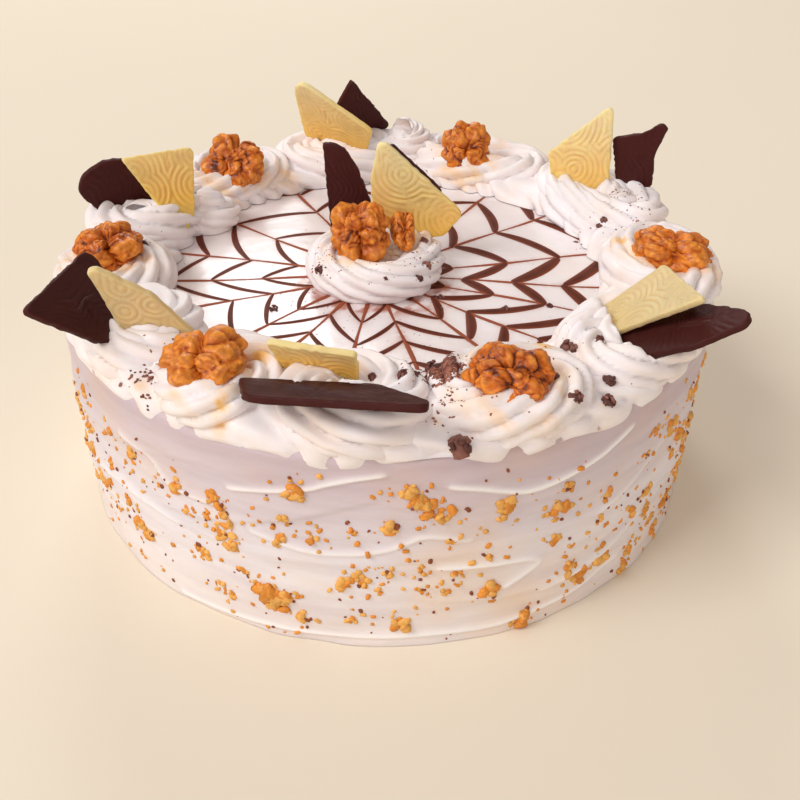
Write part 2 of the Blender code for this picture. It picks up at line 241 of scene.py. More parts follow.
def mesh_from(name: str, points: np.ndarray, faces: list[np.ndarray], facing: bool = True) -> bpy.types.Mesh:
    """Mesh of whole arrays of points and faces.

    Args:
        name: the mesh's name.
        points: (n, 3) corners.
        faces: arrays of corner indices, one row for each face.
        facing: whether the surface is closed, and so is turned to face outwards.

    Returns:
        The mesh, with its edges made.
    """
    if facing and signed_volume(points, faces) < 0:
        faces = [part[:, ::-1] for part in faces]
    mesh = bpy.data.meshes.new(name)
    corners = np.concatenate([part.reshape(-1) for part in faces]).astype(np.int32)
    sizes = np.concatenate([np.full(len(part), part.shape[1]) for part in faces])
    starts = np.concatenate([[0], np.cumsum(sizes)[:-1]]).astype(np.int32)
    mesh.vertices.add(len(points))
    mesh.vertices.foreach_set("co", np.ascontiguousarray(points, np.float32).reshape(-1))
    mesh.loops.add(len(corners))
    mesh.loops.foreach_set("vertex_index", corners)
    mesh.polygons.add(len(sizes))
    mesh.polygons.foreach_set("loop_start", starts)
    mesh.update(calc_edges=True)
    mesh.validate()
    return mesh


def placed(name: str, data: bpy.types.ID) -> bpy.types.Object:
    """A new object, linked into the scene.

    Args:
        name: the object's name.
        data: what it holds.

    Returns:
        The object.
    """
    made = bpy.data.objects.new(name, data)
    bpy.context.scene.collection.objects.link(made)
    return made


# --- finishes ---


class Slot(Enum):
    """The record's material slots."""

    ICING = "icing"
    FONDANT = "fondant"
    CREAM = "cream"
    WALNUT = "walnut"
    DARK = "dark_chocolate"
    WHITE = "white_chocolate"


class Bench:
    """Lays out the nodes of one material round its shader."""

    def __init__(self, name: str) -> None:
        """Starts a material.

        Args:
            name: the material's name.
        """
        self.material = bpy.data.materials.new(name)
        self.material.use_nodes = True
        self.tree = self.material.node_tree
        self.shader = self.tree.nodes["Principled BSDF"]
        self.coords = self.tree.nodes.new("ShaderNodeTexCoord").outputs["Object"]

    def add(self, kind: str, **settings: object) -> bpy.types.Node:
        """A new node.

        Args:
            kind: the node's type.
            settings: values, each put on the input of that name or else on the node itself.

        Returns:
            The node.
        """
        node = self.tree.nodes.new(kind)
        for key, value in settings.items():
            if key in node.inputs:
                node.inputs[key].default_value = value
            else:
                setattr(node, key, value)
        return node

    def link(self, source: Socket, target: Socket) -> None:
        """Joins two sockets."""
        self.tree.links.new(source, target)

    def set(self, **values: object) -> None:
        """Puts plain values on the shader's sockets; an underscore in a name stands for a space."""
        for key, value in values.items():
            self.shader.inputs[key.replace("_", " ")].default_value = value

    def stretched(self, x: float, y: float, z: float) -> Socket:
        """The object's coordinates, stretched.

        Args:
            x: the scale along X.
            y: the scale along Y.
            z: the scale along Z.

        Returns:
            The coordinates.
        """
        mapping = self.add("ShaderNodeMapping", Scale=(x, y, z))
        self.link(self.coords, mapping.inputs["Vector"])
        return mapping.outputs["Vector"]

    def noise(self, scale: float, detail: float = 4.0, vector: Socket | None = None) -> Socket:
        """Fractal noise.

        Args:
            scale: waves to the metre.
            detail: octaves.
            vector: where it is read, or None for the object's own coordinates.

        Returns:
            Its value, 0 to 1.
        """
        node = self.add("ShaderNodeTexNoise", Scale=scale, Detail=detail, Roughness=0.55)
        self.link(vector or self.coords, node.inputs["Vector"])
        return node.outputs["Fac"]

    def attribute(self, name: str, output: str = "Fac") -> Socket:
        """A socket of the mesh's own attribute of that name."""
        return self.add("ShaderNodeAttribute", attribute_name=name).outputs[output]

    def ramp(self, fac: Socket, stops: list[tuple[float, tuple]]) -> Socket:
        """A colour ramp.

        Args:
            fac: the value that drives it.
            stops: its places, 0 to 1, each with its colour.

        Returns:
            The colour.
        """
        node = self.add("ShaderNodeValToRGB")
        elements = node.color_ramp.elements
        while len(elements) < len(stops):
            elements.new(0.5)
        for element, (place, colour) in zip(elements, stops):
            element.position = place
            element.color = linear(colour)
        self.link(fac, node.inputs["Fac"])
        return node.outputs["Color"]

    def mix(self, fac: Socket | float, a: object, b: object, kind: str = "MIX") -> Socket:
        """A mix of two colours.

        Args:
            fac: the share of b.
            a: a colour or a socket.
            b: a colour or a socket.
            kind: the way of mixing.

        Returns:
            The mixed colour.
        """
        node = self.add("ShaderNodeMix", data_type="RGBA", blend_type=kind)
        for socket, value in ((node.inputs[0], fac), (node.inputs[6], a), (node.inputs[7], b)):
            if isinstance(value, Socket):
                self.link(value, socket)
            elif isinstance(value, tuple):
                socket.default_value = linear(value)
            else:
                socket.default_value = value
        return node.outputs[2]

    def maths(self, kind: str, a: Socket, b: float | Socket) -> Socket:
        """Arithmetic on two values, held between 0 and 1.

        Args:
            kind: the operation.
            a: the first value.
            b: the second, a number or a socket.

        Returns:
            The result.
        """
        node = self.add("ShaderNodeMath", operation=kind, use_clamp=True)
        self.link(a, node.inputs[0])
        if isinstance(b, Socket):
            self.link(b, node.inputs[1])
        else:
            node.inputs[1].default_value = b
        return node.outputs[0]

    def colour(self, socket: Socket) -> None:
        """Sends a colour to the shader."""
        self.link(socket, self.shader.inputs["Base Color"])

    def bump(self, height: Socket, strength: float, distance: float) -> None:
        """Roughens the shader's normal.

        Args:
            height: the relief, 0 to 1.
            strength: how much of it shows.
            distance: its depth, in metres.
        """
        node = self.add("ShaderNodeBump", Strength=strength, Distance=distance)
        self.link(height, node.inputs["Height"])
        self.link(node.outputs["Normal"], self.shader.inputs["Normal"])


# How far red, green and blue light carry into the cream, against each other.
WARM_DEPTH = (1.0, 0.55, 0.35)


@dataclass(frozen=True)
class Finish:
    """A look, whose material is made once and shared by all the pieces that wear it."""

    name: str

    def material(self) -> bpy.types.Material:
        """Finds the finish's material, which is laid out on its first use.

        Returns:
            The material.
        """
        found = bpy.data.materials.get(self.name)
        if found:
            return found
        bench = Bench(self.name)
        self.dress(bench)
        return bench.material

    def dress(self, bench: Bench) -> None:
        """Lays the finish's own nodes out on the bench."""


@dataclass(frozen=True)
class CreamFinish(Finish):
    """Whipped cream: a warm white, a little translucent, stained amber where the stain attribute says."""

    name: str = "whipped_cream"
    light: tuple = (250, 244, 246)
    shade: tuple = (245, 235, 232)
    stain: tuple = (250, 196, 112)

    def dress(self, bench: Bench) -> None:
        """Two whites in patches, with the stain laid over them.

        Args:
            bench: the bench of this finish's material.
        """
        base = bench.ramp(bench.noise(60, 3), [(0.35, self.shade), (0.65, self.light)])
        amount = bench.maths("MULTIPLY", bench.attribute("stain"), bench.noise(160, 3))
        amount = bench.maths("MULTIPLY", amount, 1.5)
        bench.colour(bench.mix(amount, base, self.stain))
        bench.set(Roughness=0.44, IOR=1.40)
        bench.set(Subsurface_Weight=0.14, Subsurface_Scale=0.003, Subsurface_Radius=WARM_DEPTH)
        bench.bump(bench.noise(900, 5), 0.12, 0.0004)


@dataclass(frozen=True)
class IcingFinish(Finish):
    """Butter cream spread on the wall: pinkish white with the faint streaks of the palette knife."""

    name: str = "wall_icing"
    light: tuple = (240, 235, 239)
    shade: tuple = (227, 219, 224)
    warm: tuple = (246, 222, 196)
    # Painted light by height: low is a painted warm bounce at the foot of the wall, high a painted shade near
    # the top, under the cream.
    low: tuple = (255, 250, 242)
    high: tuple = (222, 209, 212)
    # Painted highlight: a brighter white on the lips of the palette knife, where light catches them.
    crest_highlight: tuple = (255, 252, 250)

    def dress(self, bench: Bench) -> None:
        """Streaks of two whites, warmer patches, painted shade near the top and a painted warm bounce at the
        foot by height, and painted highlights on the knife's lips.

        Args:
            bench: the bench of this finish's material.
        """
        streaks = bench.noise(38, 5, bench.stretched(0.5, 0.5, 4.0))
        base = bench.ramp(streaks, [(0.32, self.shade), (0.62, self.light)])
        patches = bench.ramp(bench.noise(22, 3), [(0.50, (0, 0, 0, 1)), (0.72, (0.55, 0.55, 0.55, 1))])
        spread = bench.mix(patches, base, self.warm)
        # Painted shade near the top of the wall and a painted warm bounce at its foot, by height.
        rise = bench.attribute("rise")
        fall = bench.ramp(rise, [(0.05, self.low), (0.45, (1, 1, 1, 1)), (0.95, self.high)])
        wall = bench.mix(1.0, spread, fall, "MULTIPLY")
        # Painted highlight on the knife's lips.
        bench.colour(bench.mix(bench.attribute("crest_highlight"), wall, self.crest_highlight))
        bench.set(Roughness=0.40, IOR=1.35)
        bench.set(Subsurface_Weight=0.12, Subsurface_Scale=0.004, Subsurface_Radius=WARM_DEPTH)
        bench.bump(bench.noise(120, 6, bench.stretched(0.6, 0.6, 3.0)), 0.16, 0.0006)


@dataclass(frozen=True)
class FondantFinish(Finish):
    """Poured fondant: glossy, nearly white, with the brown bleed of the web round its lines."""

    name: str = "poured_fondant"
    light: tuple = (250, 244, 246)
    shade: tuple = (241, 231, 230)
    bleed: tuple = (178, 92, 60)

    def dress(self, bench: Bench) -> None:
        """Two whites in wide patches, browned by the bleed, under a thin gloss.

        Args:
            bench: the bench of this finish's material.
        """
        base = bench.ramp(bench.noise(26, 3), [(0.35, self.shade), (0.65, self.light)])
        bench.colour(bench.mix(bench.attribute("stain"), base, self.bleed))
        bench.set(Roughness=0.26, Coat_Weight=0.25, Coat_Roughness=0.16)
        bench.set(Subsurface_Weight=0.05, Subsurface_Scale=0.003)
        bench.bump(bench.noise(70, 3), 0.30, 0.0016)


@dataclass(frozen=True)
class WebFinish(Finish):
    """Chocolate drawn through the fondant: dark in the rings, reddish where a needle dragged it."""

    name: str = "drawn_chocolate"
    ring: tuple = (80, 38, 30)
    drag: tuple = (164, 88, 60)

    def dress(self, bench: Bench) -> None:
        """Two browns, drawn towards the reddish one by the tint.

        Args:
            bench: the bench of this finish's material.
        """
        dark = bench.ramp(bench.noise(140, 3), [(0.3, self.ring), (0.8, (104, 54, 42))])
        bench.colour(bench.mix(bench.attribute("tint"), dark, self.drag))
        bench.set(Roughness=0.40, IOR=1.12)


@dataclass(frozen=True)
class WalnutFinish(Finish):
    """Glazed walnut kernel: orange brown on the folds, with painted shade darkening the creases and a painted
    highlight tone on the crests.
    """

    name: str = "glazed_walnut"
    crease_shade: tuple = (104, 42, 8)
    flesh: tuple = (208, 106, 24)
    crest_highlight: tuple = (244, 158, 62)

    def dress(self, bench: Bench) -> None:
        """The kernel's tone with painted shade in the creases and painted light on the crests, broken up by
        fine specks.

        Args:
            bench: the bench of this finish's material.
        """
        kernel_tone_and_shade = bench.attribute("kernel_tone_and_shade")
        # Painted shade in the creases and painted light on the crests, over the kernel's own tone.
        tone = bench.ramp(kernel_tone_and_shade, [(0.16, self.crease_shade), (0.52, self.flesh), (1.0, self.crest_highlight)])
        specks = bench.ramp(bench.noise(420, 5), [(0.42, (150, 70, 18)), (0.60, (255, 240, 220))])
        bench.colour(bench.mix(0.45, tone, specks, "MULTIPLY"))
        bench.set(Roughness=0.30, IOR=1.36, Coat_Weight=0.10, Coat_Roughness=0.10)
        bench.bump(bench.noise(330, 8), 0.60, 0.0012)


@dataclass(frozen=True)
class ChocolateFinish(Finish):
    """Moulded chocolate: the tone runs from its foot to its tip; on white chocolate this is a painted amber
    glow at the foot and a paler lit tip.
    """

    foot: tuple
    tip: tuple
    roughness: float
    depth: float = 0.0
    # A greyer beige: partly the own colour of two shards, partly painted shade that dims the brightly lit
    # plates.
    beige_and_shade: tuple = (206, 184, 140)

    def dress(self, bench: Bench) -> None:
        """A painted tone from foot to tip, mottled, with painted shade yellowing the grooves and a greyer
        beige that is partly the shard's own colour and partly painted shade.

        Args:
            bench: the bench of this finish's material.
        """
        rise = bench.attribute("rise")
        # Painted light by height: amber glow at the foot, paler lit tip.
        tone = bench.ramp(rise, [(0.1, self.foot), (0.9, self.tip)])
        mottle = bench.ramp(bench.noise(180, 5), [(0.3, (0.86, 0.86, 0.86, 1)), (0.7, (1, 1, 1, 1))])
        tone = bench.mix(1.0, tone, mottle, "MULTIPLY")
        # Painted shade: the grooves of the relief darkened and yellowed.
        groove_shade = bench.ramp(bench.attribute("groove_shade"), [(0.45, (1, 1, 1, 1)), (1.0, (0.93, 0.87, 0.74, 1))])
        tone = bench.mix(1.0, tone, groove_shade, "MULTIPLY")
        # Greyer beige, partly own colour and partly painted shade.
        bench.colour(bench.mix(bench.attribute("beige_and_shade"), tone, self.beige_and_shade))
        bench.set(Roughness=self.roughness, IOR=1.22, Subsurface_Weight=self.depth)
        bench.set(Subsurface_Scale=0.005, Subsurface_Radius=(1.0, 0.7, 0.28))
        bench.bump(bench.noise(800, 4), 0.12, 0.0003)


@dataclass(frozen=True)
class CrumbFinish(Finish):
    """Crumbs, each in the tone that its tint attribute holds."""

    roughness: float

    def dress(self, bench: Bench) -> None:
        """The crumb's own tone under a fine grain.

        Args:
            bench: the bench of this finish's material.
        """
        tone = bench.attribute("tint", "Color")
        grain = bench.ramp(bench.noise(900, 4), [(0.3, (0.78, 0.74, 0.70, 1)), (0.7, (1, 1, 1, 1))])
        bench.colour(bench.mix(1.0, tone, grain, "MULTIPLY"))
        bench.set(Roughness=self.roughness)
        bench.bump(bench.noise(1500, 4), 0.3, 0.0003)


CREAM = CreamFinish()
ICING = IcingFinish()
FONDANT = FondantFinish()
WEB = WebFinish()
WALNUT = WalnutFinish()
DARK = ChocolateFinish("moulded_dark", (66, 28, 25), (76, 34, 32), 0.48)
# White chocolate: a painted amber glow at the foot, a paler lit tip.
WHITE = ChocolateFinish("moulded_white", (255, 206, 108), (252, 230, 178), 0.42, 0.6)
NUT_CRUMBS = CrumbFinish("nut_crumbs", 0.55)
DARK_CRUMBS = CrumbFinish("dark_crumbs", 0.65)


@dataclass
class Piece:
    """One finished object of the torte, held in the row frame."""

    name: str
    points: np.ndarray
    faces: list[np.ndarray]
    finish: Finish
    slot: Slot
    nodes: tuple[str, ...] = ()
    values: dict[str, np.ndarray] = field(default_factory=dict)
    tones: dict[str, np.ndarray] = field(default_factory=dict)
    flat: bool = False
    closed: bool = True

    def build(self) -> Piece:
        """Makes the object, dresses it and rides it on the cake's one body.

        Returns:
            The piece itself.
        """
        mesh = mesh_from(self.name, self.points, self.faces, self.closed)
        for key, amounts in self.values.items():
            mesh.attributes.new(key, "FLOAT", "POINT").data.foreach_set("value", amounts.astype(np.float32))
        for key, tones in self.tones.items():
            layer = mesh.attributes.new(key, "FLOAT_COLOR", "POINT")
            layer.data.foreach_set("color", np.ascontiguousarray(tones, np.float32).reshape(-1))
        if not self.flat:
            mesh.shade_smooth()
        mesh.materials.append(self.finish.material())
        made = placed(self.name, mesh)
        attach(made, "root")
        if self.nodes:
            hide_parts(*self.nodes)
        LOG.info("%s: %d points, %d faces", self.name, len(self.points), len(mesh.polygons))
        return self

    def polygons(self) -> list[list[int]]:
        """Corner indices of every face as plain lists."""
        return [face for part in self.faces for face in part.tolist()]


# --- toppings: where each one stands ---


@dataclass(frozen=True)
class WalnutSpec:
    """One kernel: its centre, its half-lengths and its turn, as in the solid."""

    place: tuple
    halves: tuple
    turn: tuple
    seed: int
    roast: float = 0.0


WALNUTS = {
    "walnut_front_left": WalnutSpec((-0.054, -0.0975, 0.0965), (0.0145, 0.0115, 0.0075), (20, -8, 5), 1),
    "walnut_front_right": WalnutSpec((0.0388, -0.1032, 0.096), (0.015, 0.012, 0.008), (24, 6, -8), 2, 0.26),
    "walnut_right": WalnutSpec((0.1073, -0.0155, 0.0963), (0.0157, 0.011, 0.007), (16, 4, -18), 3, 0.08),
    "walnut_back_right": WalnutSpec((0.0345, 0.0862, 0.0967), (0.0118, 0.0133, 0.007), (62, 0, 4), 4, 0.14),
    "walnut_back_left": WalnutSpec((-0.07, 0.0634, 0.0967), (0.0145, 0.0134, 0.0078), (52, 8, -20), 5, 0.15),
    "walnut_left": WalnutSpec((-0.1025, -0.023, 0.097), (0.014, 0.0115, 0.0075), (22, -6, 28), 6, 0.2),
    "walnut_centre": WalnutSpec((-0.0102, -0.0128, 0.0997), (0.0119, 0.014, 0.0074), (58, -4, 6), 7, 0.14),
    "walnut_piece": WalnutSpec((0.0056, -0.0076, 0.0984), (0.0052, 0.008, 0.0046), (52, 10, 14), 8, 0.1),
}


@dataclass(frozen=True)
class ShardSpec:
    """One shard: its centre in mm, heading and slope in degrees, and corners in mm (across, up)."""

    place: tuple
    heading: float
    slope: float
    corners: tuple
    dark: bool
    warm: float = 0.5
    fade: float = 40.0

    def basis(self) -> np.ndarray:
        """The shard's own directions.

        Returns:
            Rows: across, up-slope and outward.
        """
        heading, slope = math.radians(self.heading), math.radians(self.slope)
        return np.array([
            [math.sin(heading), -math.cos(heading), 0],
            [math.cos(slope) * math.cos(heading), math.cos(slope) * math.sin(heading), math.sin(slope)],
            [-math.sin(slope) * math.cos(heading), -math.sin(slope) * math.sin(heading), math.cos(slope)],
        ])

    def beyond(self, plane: np.ndarray) -> np.ndarray:
        """How far points lie outside the shard's outline.

        Args:
            plane: points of its plane, in metres.

        Returns:
            Metres, which are negative inside.
        """
        corners = np.array(self.corners, float) * MM
        after = np.roll(corners, -1, axis=0)
        ahead = after - corners
        normals = unit(np.stack([ahead[:, 1], -ahead[:, 0]], axis=1))
        turning = np.sign((corners[:, 0] * after[:, 1] - after[:, 0] * corners[:, 1]).sum())
        return (turning * ((plane[..., None, :] - corners) * normals).sum(-1)).max(-1)


# Name, centre, heading, slope and corners of each shard, and the warmth and fade of those with their own,
# which set the painted amber glow at a white shard's foot.
SHARDS = {
    name: ShardSpec(place, heading, slope, corners, "dark" in name, *warmth)
    for name, place, heading, slope, corners, *warmth in (
        (
            "shard_a_dark", (-94, -77, 101), 172, 54,
            ((-23, 14), (-20, 15), (18, 14), (21, 10), (13, -11), (-2, -13), (-8, -8)),
        ),
        (
            "shard_a_white", (-76.6, -77.4, 103), -87, 75,
            ((14, 16), (11, 17), (-4, 6), (-15, -12), (-13, -15), (7, -15)), 0.25,
        ),
        (
            "shard_b_dark", (-110, 18, 105), -60, 81,
            ((14, -1), (12, 5), (9, 8), (5, 10), (0, 11), (-5, 10), (-22, -17), (-4, -19), (6, -12)),
        ),
        (
            "shard_b_white", (-88, 21, 103), 120, 71,
            ((-17, 14), (11, 14), (12, 12), (7, -13), (2, -19), (-1, -17)), 0.85,
        ),
        (
            "shard_c_white", (-31, 94, 106), -117, 59,
            ((10, 17), (8, 22), (4, 24), (0, 22), (-25, 0), (-14, -22), (7, -24), (16, -18)), 0.75,
        ),
        ("shard_c_dark", (-14, 109, 107), -59, 67, ((10, 19), (15, 6), (8, -15), (-6, -20), (-17, -12))),
        (
            "shard_d_white", (83, 60, 101), 78, 85,
            ((9, 25), (11, 23), (13, -7), (6, -16), (-10, -14), (-15, 3)), 0.55,
        ),
        (
            "shard_d_dark", (108, 55, 105), -117, 89,
            ((14, 7), (0, 12), (-6, 17), (-9, 15), (-5, 2), (-6, -10), (-3, -18), (8, -18)),
        ),
        ("shard_e_white", (86, -63.5, 100), -3, 46, ((-12, 11), (22, 19), (5, -14), (-14, -17)), 0.2),
        (
            "shard_e_dark", (93.5, -80, 99), 3, 37,
            ((-17, -17), (-12, 6), (9, 20), (13, 21), (16, 18), (12, 1), (3, -14), (-11, -20)),
        ),
        (
            "shard_f_dark", (-10, -121, 100), -91, 22,
            ((33, -17), (28, 5), (23, 8), (-23, 14), (-24, 8), (-9, -13)),
        ),
        ("shard_f_white", (-20, -98, 97), -104, 62, ((14, 8), (-14, 8), (-12, -11), (12, -11)), 1.05, 14.0),
        (
            "shard_g_dark", (-17, 9, 110), -90, 86,
            ((8, 17), (3, 17), (-1, 14), (-5, 7), (-10, -7), (-8, -20), (6, -21)),
        ),
        (
            "shard_g_white", (6, 5, 111), -93, 86,
            ((10, 18), (7, 18), (-23, -10), (-16, -20), (2, -23), (12, -14), (13, 4)), 0.72,
        ),
        (
            "shard_g_dark_behind", (6, 8.6, 111), -93, 86,
            ((6, 16), (4.5, 16), (-14.5, -2), (-10, -20), (4, -22)),
        ),
    )
}


# --- cake body ---


# Lips that the palette knife left on the wall: how proud each stands in millimetres, then its points, as
# degrees from the front and millimetres up.
KNIFE_LIPS = (
    (0.75, ((-22, 61), (-11, 65.4), (-6.8, 70), (0.3, 74))),
    (0.85, ((10, 69), (14, 67), (17.4, 64.3), (21, 61.9), (26.7, 62.3), (34, 66), (40, 72))),
    (0.65, ((-19, 45), (-12, 41.5), (-6.5, 41.1), (0, 42.6), (4.6, 47.6), (7.2, 49.7), (13.1, 45.7))),
    (0.80, ((19.4, 22.2), (23.5, 26.6), (25.1, 29.8), (23, 32.5), (19, 33.5), (9, 34.7))),
    (0.80, ((-34, 2.5), (-20, 3.4), (-7.7, 4.3), (7, 5.0), (17.6, 4.2), (21.8, 5.5), (30.4, 7.5), (42, 13))),
    (0.60, ((-44, 62), (-37, 60), (-34.9, 53.6), (-31.6, 51), (-24, 52))),
    (0.60, ((26, 15.5), (33, 18.5), (40, 20.5), (47, 26))),
    (0.55, ((36, 41), (44, 47), (52, 55))),
    (0.55, ((-62, 30), (-50, 36), (-41, 38), (-33, 36))),
    (0.60, ((72, 20), (88, 26), (104, 24), (118, 30))),
    (0.70, ((95, 52), (112, 60), (130, 57))),
    (0.60, ((140, 18), (158, 22), (171, 36), (160, 40))),
    (0.70, ((178, 60), (196, 54), (214, 59), (226, 68))),
    (0.60, ((205, 12), (226, 16), (246, 13))),
    (0.65, ((238, 40), (254, 46), (272, 42), (284, 50))),
)


def rounded(line: np.ndarray, turns: int = 3) -> np.ndarray:
    """An open line with its corners rounded off.

    Args:
        line: (n, 2) points.
        turns: how often each corner is cut at a quarter of its sides.

    Returns:
        The finer line.
    """
    for _ in range(turns):
        cut = np.stack([0.75 * line[:-1] + 0.25 * line[1:], 0.25 * line[:-1] + 0.75 * line[1:]], axis=1)
        line = np.concatenate([line[:1], cut.reshape(-1, 2), line[-1:]])
    return line


@dataclass
class CakeBody:
    """The iced body: a near cylinder whose wall carries the sweeps and lips of a palette knife."""

    radius: float = CAKE_RADIUS - 0.0008
    height: float = CAKE_HEIGHT
    edge: float = 0.0030
    hollow: tuple = ((0.945, 0.0), (0.944, 0.0021))
    steep: float = 0.0008
    gentle: float = 0.0016
    columns: int = 440
    rows: int = 114
    sweeps: int = 34

    def lips(self, angle: np.ndarray, z: np.ndarray) -> np.ndarray:
        """Height of the lips over the wall: each is steep on its lower side and runs out on its upper.

        Args:
            angle: angles in radians.
            z: heights in metres.

        Returns:
            Metres.
        """
        out = np.zeros(np.shape(z))
        for proud, line in KNIFE_LIPS:
            turned = (np.degrees(angle) + 90 - line[0][0] + 180) % 360 - 180 + line[0][0]
            spot = np.stack([np.radians(turned) * self.radius, z], axis=-1)
            ends = rounded(np.array([(math.radians(a) * self.radius, h * MM) for a, h in line]))
            nearest = np.full(np.shape(z), 1.0)
            above = np.ones(np.shape(z))
            for start, end in zip(ends[:-1], ends[1:]):
                way = end - start
                share = np.clip(((spot - start) @ way) / (way @ way), 0, 1)
                gap = spot - start - share[..., None] * way
                reach = np.linalg.norm(gap, axis=-1)
                above = np.where(reach < nearest, gap[..., 1], above)
                nearest = np.minimum(nearest, reach)
            width = np.where(above > 0, self.gentle, self.steep)
            out = np.maximum(out, proud * MM * np.exp(-((nearest / width) ** 2)))
        return out

    def relief(self, angle: np.ndarray, z: np.ndarray) -> np.ndarray:
        """Height of the wall over its mean radius.

        Args:
            angle: angles in radians.
            z: heights in metres.

        Returns:
            Metres.
        """
        flat = around(self.radius, angle, 2.4 * z)
        out = 0.00045 * ripple(flat, 0.070, 11, 3) + 0.00007 * ripple(flat, 0.012, 12, 2)
        draw = np.random.default_rng(5)
        for _ in range(self.sweeps):
            start = draw.uniform(0, TAU)
            low = draw.uniform(0.006, 0.072)
            reach = draw.uniform(0.15, 0.75)
            rise = draw.uniform(-0.004, 0.018) * draw.choice([1, 1, -0.6])
            away = (angle - start + math.pi) % TAU - math.pi
            line = low + rise * (away / reach) + 0.004 * (away / reach) ** 2
            near = np.exp(-((away / reach) ** 4))
            step = (z - line) / draw.uniform(0.0007, 0.0013)
            tail = 1 / (1 + np.exp(np.clip(-2.2 * step, -30, 30))) * np.exp(-np.maximum(step, 0) / 5.5)
            out += draw.uniform(0.00030, 0.00080) * near * tail
        foot = np.exp(-((z / 0.0022) ** 2))
        return out + self.lips(angle, z) + foot * (0.0004 + 0.0005 * ripple(flat, 0.030, 13, 2))

    def build(self) -> Piece:
        """Base, wall, rounded edge and a top that passes under the fondant.

        Returns:
            The finished piece.
        """
        even = full_turn(self.columns)
        angle = even - 0.3 * np.cos(even)
        shoulder = self.height - self.edge
        wall_z = np.linspace(0.0, shoulder, self.rows)
        grid_a, grid_z = np.meshgrid(angle, wall_z)
        reach = self.radius + self.relief(grid_a, grid_z)
        rings = [around(reach, grid_a, grid_z)]
        for bend in (math.radians(30), math.radians(60), math.radians(90)):
            inset = self.edge * (1 - math.cos(bend))
            rings.append(around(reach[-1] - inset, angle, shoulder + self.edge * math.sin(bend))[None])
        for share, depth in self.hollow:
            rings.append(around(CAKE_RADIUS * share, angle, self.height - depth)[None])
        points, faces = capped(np.concatenate(rings))
        points[points[:, 2] < 1e-6, 2] = 0.0
        # Painted highlight mask: how proud the knife's lips stand.
        crest_highlight = self.lips(np.arctan2(points[:, 1], points[:, 0]), points[:, 2]) / (0.8 * MM)
        # rise is the height that paints shade near the top of the wall and a warm bounce at its foot.
        values = {"rise": points[:, 2] / self.height, "crest_highlight": np.clip(crest_highlight, 0, 1) ** 2}
        return Piece("cake_icing", points, faces, ICING, Slot.ICING, ("cake",), values=values).build()


# --- chopped nuts, chocolate crumbs and cocoa ---


def icosphere(level: int) -> tuple[np.ndarray, np.ndarray]:
    """A ball of even triangles.

    Args:
        level: how often the faces of the icosahedron are split.

    Returns:
        Points on the unit ball, and the (n, 3) corner indices.
    """
    gold = (1 + math.sqrt(5)) / 2
    points = [(-1, gold, 0), (1, gold, 0), (-1, -gold, 0), (1, -gold, 0), (0, -1, gold), (0, 1, gold)]
    points += [(0, -1, -gold), (0, 1, -gold), (gold, 0, -1), (gold, 0, 1), (-gold, 0, -1), (-gold, 0, 1)]
    faces = [(0, 11, 5), (0, 5, 1), (0, 1, 7), (0, 7, 10), (0, 10, 11)]
    faces += [(1, 5, 9), (5, 11, 4), (11, 10, 2), (10, 7, 6), (7, 1, 8)]
    faces += [(3, 9, 4), (3, 4, 2), (3, 2, 6), (3, 6, 8), (3, 8, 9)]
    faces += [(4, 9, 5), (2, 4, 11), (6, 2, 10), (8, 6, 7), (9, 8, 1)]
    spots = [np.array(p, float) / math.hypot(1, gold) for p in points]
    for _ in range(level):
        middles: dict[tuple[int, int], int] = {}
        finer = []
        for a, b, c in faces:
            ends = []
            for pair in ((a, b), (b, c), (c, a)):
                key = (min(pair), max(pair))
                if key not in middles:
                    middle = spots[key[0]] + spots[key[1]]
                    spots.append(middle / np.linalg.norm(middle))
                    middles[key] = len(spots) - 1
                ends.append(middles[key])
            finer += [(a, ends[0], ends[2]), (b, ends[1], ends[0]), (c, ends[2], ends[1]), tuple(ends)]
        faces = finer
    return np.array(spots), np.array(faces)


@dataclass
class Crumbs:
    """A scatter of angular crumbs joined into one mesh."""

    name: str
    finish: CrumbFinish
    slot: Slot
    level: int
    seed: int

    def build(self, places: np.ndarray, normals: np.ndarray, sizes: np.ndarray, tones: np.ndarray) -> Piece:
        """Each crumb is a jittered ball, squeezed along its normal and turned at random about it.

        Args:
            places: (n, 3) points that the crumbs lie on.
            normals: (n, 3) directions that they stand out along.
            sizes: (n,) half-widths in metres.
            tones: (n, 4) linear colours.

        Returns:
            The finished piece.
        """
        draw = np.random.default_rng(self.seed)
        ball, faces = icosphere(self.level)
        count, corners = len(places), len(ball)
        normals = unit(normals)
        helper = np.where(np.abs(normals[:, 2:3]) < 0.9, [[0.0, 0.0, 1.0]], [[1.0, 0.0, 0.0]])
        side = unit(np.cross(normals, helper))
        spin = draw.uniform(0, TAU, count)[:, None]
        first = side * np.cos(spin) + np.cross(normals, side) * np.sin(spin)
        second = np.cross(normals, first)
        shape = ball[None] * draw.uniform(0.72, 1.18, (count, corners, 1))
        spans = [draw.uniform(low, high, count) for low, high in ((0.8, 1.35), (0.6, 1.0), (0.45, 0.8))]
        shape = shape * np.stack(spans, axis=-1)[:, None]
        shape = np.clip(shape, -0.82, 0.82) * sizes[:, None, None]
        shape[..., 0] *= draw.uniform(0.9, 1.5, (count, 1))
        frame = np.stack([first, second, normals], axis=1)
        points = places[:, None] + shape @ frame
        points[..., 2] = np.maximum(points[..., 2], 0.0)
        index = faces[None] + (np.arange(count) * corners)[:, None, None]
        colours = np.repeat(tones[:, None], corners, axis=1)
        faces = [index.reshape(-1, 3)]
        piece = Piece(self.name, points.reshape(-1, 3), faces, self.finish, self.slot, flat=True)
        piece.tones["tint"] = colours.reshape(-1, 4)
        return piece.build()


